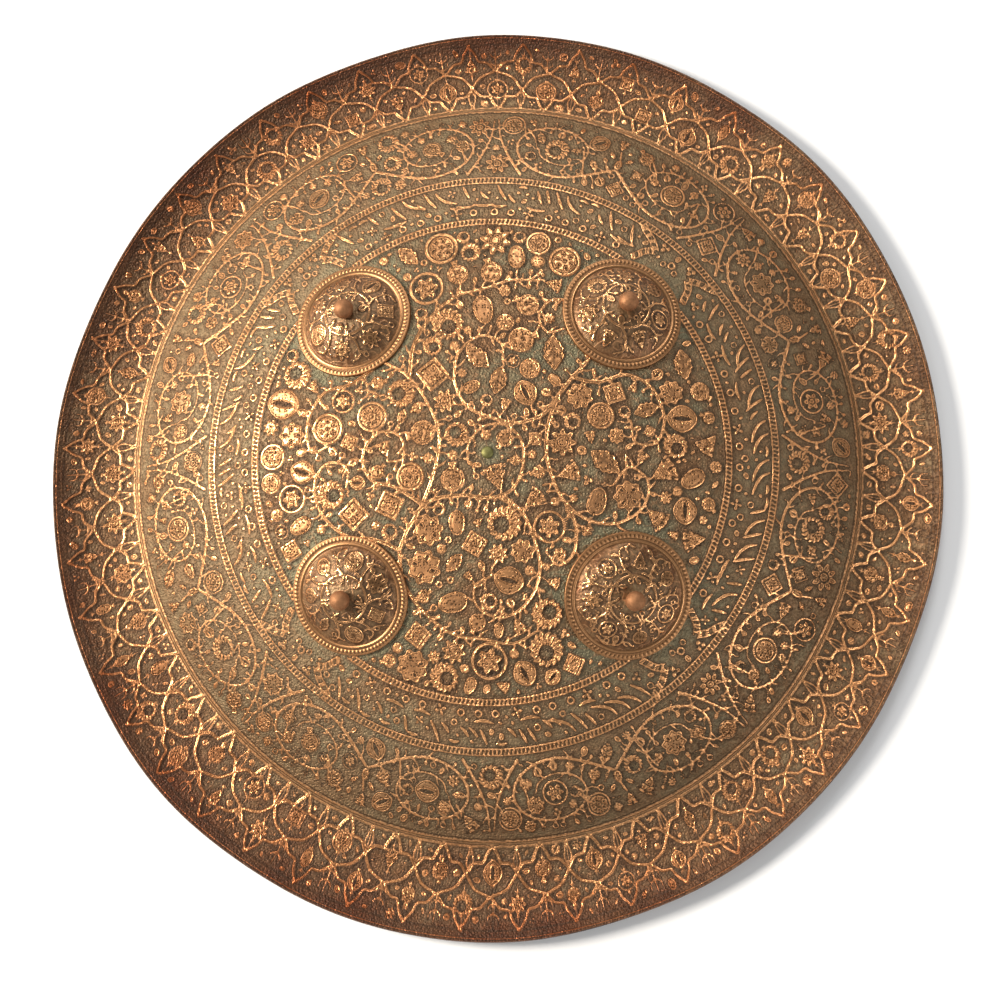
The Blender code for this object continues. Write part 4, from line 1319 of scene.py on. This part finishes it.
def planished_group():
    """Plain hammered sheet: shallow round facets, brown with darker blooms."""
    inputs = {"Light": (1, 1, 1, 1), "Brown": (1, 1, 1, 1), "Dark": (0, 0, 0, 1)}
    outputs = {"Colour": "NodeSocketColor", "Roughness": "NodeSocketFloat", "Height": "NodeSocketFloat"}
    group, g, given, out = new_group("Planished copper", inputs, outputs)
    place = g.add("ShaderNodeTexCoord").outputs["Object"]
    blows = g.cells(place, 95.0, "SMOOTH_F1", Smoothness=0.6)
    bloom, grain = g.noise(place, 14.0, 5.0, 0.62), g.noise(place, 260.0)
    worn = g.times(g.span(bloom, 0.5, 0.75), g.span(grain, 0.4, 0.65))
    colour = g.mix(g.span(bloom, 0.35, 0.68), given["Dark"], given["Brown"])
    g.put(out["Colour"], g.mix(g.times(worn, 0.6), colour, given["Light"]))
    g.put(out["Roughness"], g.span(g.plus(bloom, g.times(grain, 0.4)), 0.4, 1.0, 0.62, 0.40))
    g.put(out["Height"], g.plus(g.times(blows, -1.0), g.times(grain, 0.06)))
    return group


def four(colour):
    return (*colour, 1.0)


def finish_material(name, group, values, bump_distance, bump_strength, metallic=None):
    """Material whose Principled shader takes what varies from a group."""
    material = bpy.data.materials.new(name + "_finish")
    material.use_nodes = True
    g = Graph(material.node_tree)
    shader = material.node_tree.nodes["Principled BSDF"]
    node = g.add("ShaderNodeGroup")
    node.node_tree = group
    for key, value in values.items():
        if isinstance(value, str):
            value = g.add("ShaderNodeAttribute", attribute_name=value).outputs["Fac"]
        g.put(node.inputs[key], value)
    g.put(shader.inputs["Base Color"], node.outputs["Colour"])
    g.put(shader.inputs["Roughness"], node.outputs["Roughness"])
    g.put(shader.inputs["Metallic"], node.outputs["Metallic"] if metallic is None else metallic)
    bump = {"Strength": bump_strength, "Distance": bump_distance, "Height": node.outputs["Height"]}
    g.put(shader.inputs["Normal"], g.add("ShaderNodeBump", bump).outputs[0])
    return material


def copper_looks(colours):
    """Every finish of the shield, by name."""
    names = ("chased_copper", "boss_copper", "knob_copper", "green_brass", "back_copper")
    if "back_copper_finish" in bpy.data.materials:
        return {name: bpy.data.materials[name + "_finish"] for name in names}
    worn, planished = worn_copper_group(), planished_group()
    shared = {"Relief": "relief", "Cavity": "cavity", "Patina": "patina", "Seeds": "seeds", "Depth": "depth",
              "Gloss": 0.0}
    for key in ("Bright", "Middle", "Ground", "Green", "Dark"):
        shared[key] = four(getattr(colours, key.lower()))
    boss = {"Bright": four(colours.boss_bright), "Middle": four(colours.boss),
            "Ground": four(colours.boss_ground)}
    brass = dict.fromkeys(("Bright", "Middle", "Ground"), four(colours.brass))
    own = (({"Wear and highlight": 0.65, "Painted rim shade and tone": "painted_rim_shade_and_tone", "Film": "film", "Tendrils": 0.45}, 0.0004, 0.75),
           ({**boss, "Wear and highlight": 0.50, "Gloss": 0.12, "Tendrils": 0.9}, 0.0002, 0.35),
           ({"Middle": four(colours.knob), "Wear and highlight": 0.1, "Gloss": -0.08}, 0.0006, 0.55),
           ({**brass, "Wear and highlight": 0.4}, 0.0002, 0.4))
    looks = {}
    for name, (values, distance, strength) in zip(names, own):
        looks[name] = finish_material(name, worn, {**shared, **values}, distance, strength)
    back = {"Light": four(colours.middle), "Brown": four(colours.back), "Dark": four(colours.dark)}
    looks["back_copper"] = finish_material("back_copper", planished, back, 0.0006, 0.55, 0.85)
    return looks


def colour_property(name, text, value):
    return FloatVectorProperty(name=name, description=text, default=value, subtype="COLOR", size=3,
                               min=0, max=1)


def count_property(name, text, value, least):
    return IntProperty(name=name, description=text, default=value, min=least)


def length_property(name, text, value):
    return FloatProperty(name=name, description=text, default=value, unit="LENGTH", min=0)


class ShieldSizes(PropertyGroup):
    """Sizes of the chased work"""

    strap_repeats: count_property("Strap repeats", "Cartouches round the rim", 48, 8)
    strap_width: length_property("Strap width", "Width of the rim straps at their foot", 0.0019)
    strap_height: length_property("Strap height", "Height of the rim straps", 0.0009)
    scroll_count: count_property("Scrolls", "Spiral scrolls round the flank", 16, 4)
    stem_width: length_property("Stem width", "Width of the stems at their foot", 0.0021)
    flower_height: length_property("Flower height", "Height of flowers and stems", 0.0009)
    line_width: length_property("Beaded line", "Width between the lines of a beaded border", 0.0030)
    line_height: length_property("Line height", "Height of the border lines", 0.0007)
    stroke_width: length_property("Stroke width", "Width of the strokes in the panels", 0.0018)
    stroke_height: length_property("Stroke height", "Height of the strokes in the panels", 0.0006)
    lip_ticks: count_property("Lip ticks", "Ticks in the border at the lip", 700, 50)
    rope_height: length_property("Rope height", "Height of the rope on a boss flange", 0.0006)
    rope_ticks: count_property("Rope ticks", "Turns of the rope on a boss flange", 88, 12)
    dent_depth: length_property("Dents", "Unevenness left by raising the sheet", 0.00025)


class ShieldColours(PropertyGroup):
    """Colours of the copper and its patina"""

    # Also painted as a highlight along the edges of the raised work
    bright: colour_property("Rubbed copper", "Where the raised work is rubbed bright", (0.82, 0.400, 0.170))
    middle: colour_property("Copper", "Raised work that is not rubbed", (0.340, 0.172, 0.080))
    ground: colour_property("Ground", "Dull olive brown between the motifs", (0.205, 0.146, 0.078))
    green: colour_property("Patina", "Grey green deposit beside the bosses", (0.158, 0.160, 0.096))
    # Also painted shade at the foot of the relief and in its hollows
    dark: colour_property("Hollows", "Dirt at the foot of the relief", (0.040, 0.022, 0.012))
    boss: colour_property("Boss copper", "Crown of the bosses", (0.36, 0.180, 0.080))
    # Also painted as a highlight along the edges of the bosses' raised work
    boss_bright: colour_property("Rubbed boss", "Rubbed edges on the bosses", (0.64, 0.33, 0.145))
    boss_ground: colour_property("Boss ground", "Ground on the bosses", (0.210, 0.125, 0.058))
    knob: colour_property("Knob copper", "Ball knobs", (0.33, 0.162, 0.078))
    brass: colour_property("Brass", "Centre rivet", (0.20, 0.185, 0.070))
    back: colour_property("Back copper", "Plain back of the sheet", (0.20, 0.105, 0.060))
    floor: colour_property("Floor", "Pale floor under the shield", (0.88, 0.88, 0.88))


class SHIELD_OT_sheet(Operator):
    """Chase the face of the sheet and build it in rings, each with its plain back"""

    bl_idname = "shield.sheet"
    bl_label = "Chased sheet"

    def execute(self, context):
        sizes = context.scene.shield_sizes
        looks = copper_looks(context.scene.shield_colours)
        finish = (looks["chased_copper"], looks["back_copper"])
        art = Relief(RIM_RADIUS + 0.003, ART_PITCH)
        random = np.random.default_rng(SHEET_SEED)
        chase_centre(art, sizes, random)
        chase_inscription(art, sizes, random)
        chase_scroll_band(art, sizes, random)
        chase_strapwork(art, sizes, random)
        chase_crease(art, sizes)
        chase_lip(art, sizes)
        art.finish(ART_PITCH, 0.0014, 1 / (0.5 * sizes.flower_height), 0.40 * sizes.flower_height)
        pieces = [centre_zone("centre_field", art, sizes, finish, CENTRE_EDGE, 300)]
        # Name, inner and outer radius, columns and rows
        zones = (("panel_band", CENTRE_EDGE, INSCRIPTION_EDGE, 1240, 44),
                 ("scroll_band", INSCRIPTION_EDGE, SCROLL_EDGE, 1560, 59),
                 ("crease_band", SCROLL_EDGE, CREASE_EDGE, 1560, 10),
                 ("strapwork_rim", CREASE_EDGE, STRAP_EDGE, 1880, 49),
                 ("lip_band", STRAP_EDGE, RIM_RADIUS, 2800, 7))
        for name, inner, outer, columns, rows in zones:
            pieces.append(ring_zone(name, art, sizes, finish, inner, outer, columns, rows))
        for piece in pieces:
            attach(piece, "root")
            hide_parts("shield_body")
        return {"FINISHED"}


class SHIELD_OT_bosses(Operator):
    """Build the four bosses with their chased crowns and roped flanges"""

    bl_idname = "shield.bosses"
    bl_label = "Bosses"

    def execute(self, context):
        sizes = context.scene.shield_sizes
        looks = copper_looks(context.scene.shield_colours)
        for seed, name in enumerate(BOSS_ANGLES):
            art = Relief(boss_radius(name) + 0.002, BOSS_ART_PITCH)
            chase_boss(art, boss_radius(name), sizes, np.random.default_rng(BOSS_SEED + seed))
            art.finish(BOSS_ART_PITCH, 0.0010, 1 / (0.4 * sizes.flower_height), 0.30 * sizes.flower_height)
            piece = boss_piece(name, art, sizes, (looks["boss_copper"],))
            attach(piece, "root")
            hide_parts("boss_" + name)
        return {"FINISHED"}


class SHIELD_OT_rivets(Operator):
    """Build the ball knobs and the small brass rivet in the middle"""

    bl_idname = "shield.rivets"
    bl_label = "Rivets"

    def execute(self, context):
        looks = copper_looks(context.scene.shield_colours)
        for seed, name in enumerate(BOSS_ANGLES):
            matrix = seat_frame(boss_centre(name))
            knob = (looks["knob_copper"],)
            piece = turned_piece("ball_knob_" + name, knob_section(), 56, matrix, knob, 0.04, seed, 0.80)
            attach(piece, "root")
            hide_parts("knob_rivet_" + name)
        brass = (looks["green_brass"],)
        matrix = seat_frame(np.zeros(2))
        piece = turned_piece("brass_rivet", centre_section(), 40, matrix, brass, 0.03, 9, 0.75)
        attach(piece, "root")
        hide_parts("centre_rivet")
        return {"FINISHED"}


# Lights: name, place, target, size, power in watts and colour
LIGHTS = (
    ("key_from_left", (-2.1, 0.35, 1.35), (0, 0, 0.02), 0.85, 116.0, (1.0, 0.94, 0.85)),
    ("softbox_above", (0.1, 2.2, 1.5), (0, 0, 0), 1.0, 30.0, (1, 1, 1)),
    ("softbox_below", (-0.2, -2.0, 1.5), (0, 0, 0), 0.8, 5.0, (1, 1, 1)),
    ("softbox_right", (2.2, -1.2, 1.0), (0, 0, 0), 1.1, 22.0, (1, 1, 1)),
)
ROOM_LIGHT = 0.33
FLOOR_HALF = 3.0
FLOOR_DROP = 0.0004


def area_light(name, place, target, size, power, colour):
    data = bpy.data.lights.new(name, "AREA")
    data.shape = "DISK"
    data.size = size
    data.energy = power
    data.color = colour
    light = bpy.data.objects.new(name, data)
    light.location = place
    light.rotation_euler = (Vector(target) - Vector(place)).to_track_quat("-Z", "Y").to_euler()
    bpy.context.scene.collection.objects.link(light)


def photo_camera():
    """Camera over the lower edge and a little to the right, with the shield's upper edge at the top."""
    place, target = Vector((0.0582, -0.1205, 1.0077)), Vector((0.0033, -0.0111, 0.0))
    toward = (place - target).normalized()
    upright = Vector((-0.0064, 1, 0))
    upright = (upright - toward * toward.dot(upright)).normalized()
    side = upright.cross(toward)
    data = bpy.data.cameras.new("photo_camera")
    data.lens = 72.5
    data.sensor_width = 36.0
    camera = bpy.data.objects.new("photo_camera", data)
    rotation = Matrix((side, upright, toward)).transposed().to_4x4()
    camera.matrix_world = Matrix.Translation(place) @ rotation
    bpy.context.scene.collection.objects.link(camera)
    bpy.context.scene.camera = camera


class SHIELD_OT_stage(Operator):
    """Lay the pale floor, light it from the left with weaker lights around, and place the camera"""

    bl_idname = "shield.stage"
    bl_label = "Stage"

    def execute(self, context):
        signs = ((-1, -1), (1, -1), (1, 1), (-1, 1))
        corners = [(x * FLOOR_HALF, y * FLOOR_HALF, -FLOOR_DROP) for x, y in signs]
        mesh = bpy.data.meshes.new("pale_floor")
        mesh.from_pydata(corners, [], [(0, 1, 2, 3)])
        floor = bpy.data.objects.new("pale_floor", mesh)
        context.scene.collection.objects.link(floor)
        material = bpy.data.materials.new("pale_floor")
        material.use_nodes = True
        g = Graph(material.node_tree)
        shader = material.node_tree.nodes["Principled BSDF"]
        shade = g.times(g.noise(g.add("ShaderNodeTexCoord").outputs["Object"], 3.0), 0.04)
        tone = four(context.scene.shield_colours.floor)
        g.put(shader.inputs["Base Color"], g.mix(shade, tone, (0.80, 0.81, 0.83, 1)))
        shader.inputs["Roughness"].default_value = 0.9
        mesh.materials.append(material)
        for light in LIGHTS:
            area_light(*light)
        world = bpy.data.worlds.new("pale_room")
        world.use_nodes = True
        background = world.node_tree.nodes["Background"].inputs
        background["Color"].default_value = (1.0, 1.0, 1.0, 1)
        background["Strength"].default_value = ROOM_LIGHT
        context.scene.world = world
        context.scene.view_settings.view_transform = "Standard"
        photo_camera()
        return {"FINISHED"}


class SHIELD_PT_panel(Panel):
    """Steps that build the shield"""

    bl_idname = "SHIELD_PT_panel"
    bl_label = "Copper shield"
    bl_space_type = "VIEW_3D"
    bl_region_type = "UI"
    bl_category = "Shield"

    def draw(self, context):
        for step in STEPS:
            self.layout.operator(step.bl_idname)
        for group in (context.scene.shield_sizes, context.scene.shield_colours):
            for key in group.__annotations__:
                self.layout.prop(group, key)


STEPS = (SHIELD_OT_sheet, SHIELD_OT_bosses, SHIELD_OT_rivets, SHIELD_OT_stage)
CLASSES = (ShieldSizes, ShieldColours, *STEPS, SHIELD_PT_panel)


def register():
    for item in CLASSES:
        bpy.utils.register_class(item)
    bpy.types.Scene.shield_sizes = PointerProperty(type=ShieldSizes)
    bpy.types.Scene.shield_colours = PointerProperty(type=ShieldColours)


def unregister():
    del bpy.types.Scene.shield_colours
    del bpy.types.Scene.shield_sizes
    for item in reversed(CLASSES):
        bpy.utils.unregister_class(item)


def main():
    register()
    bpy.ops.shield.sheet()
    bpy.ops.shield.bosses()
    bpy.ops.shield.rivets()
    bpy.ops.shield.stage()


if __name__ == "__main__":
    main()
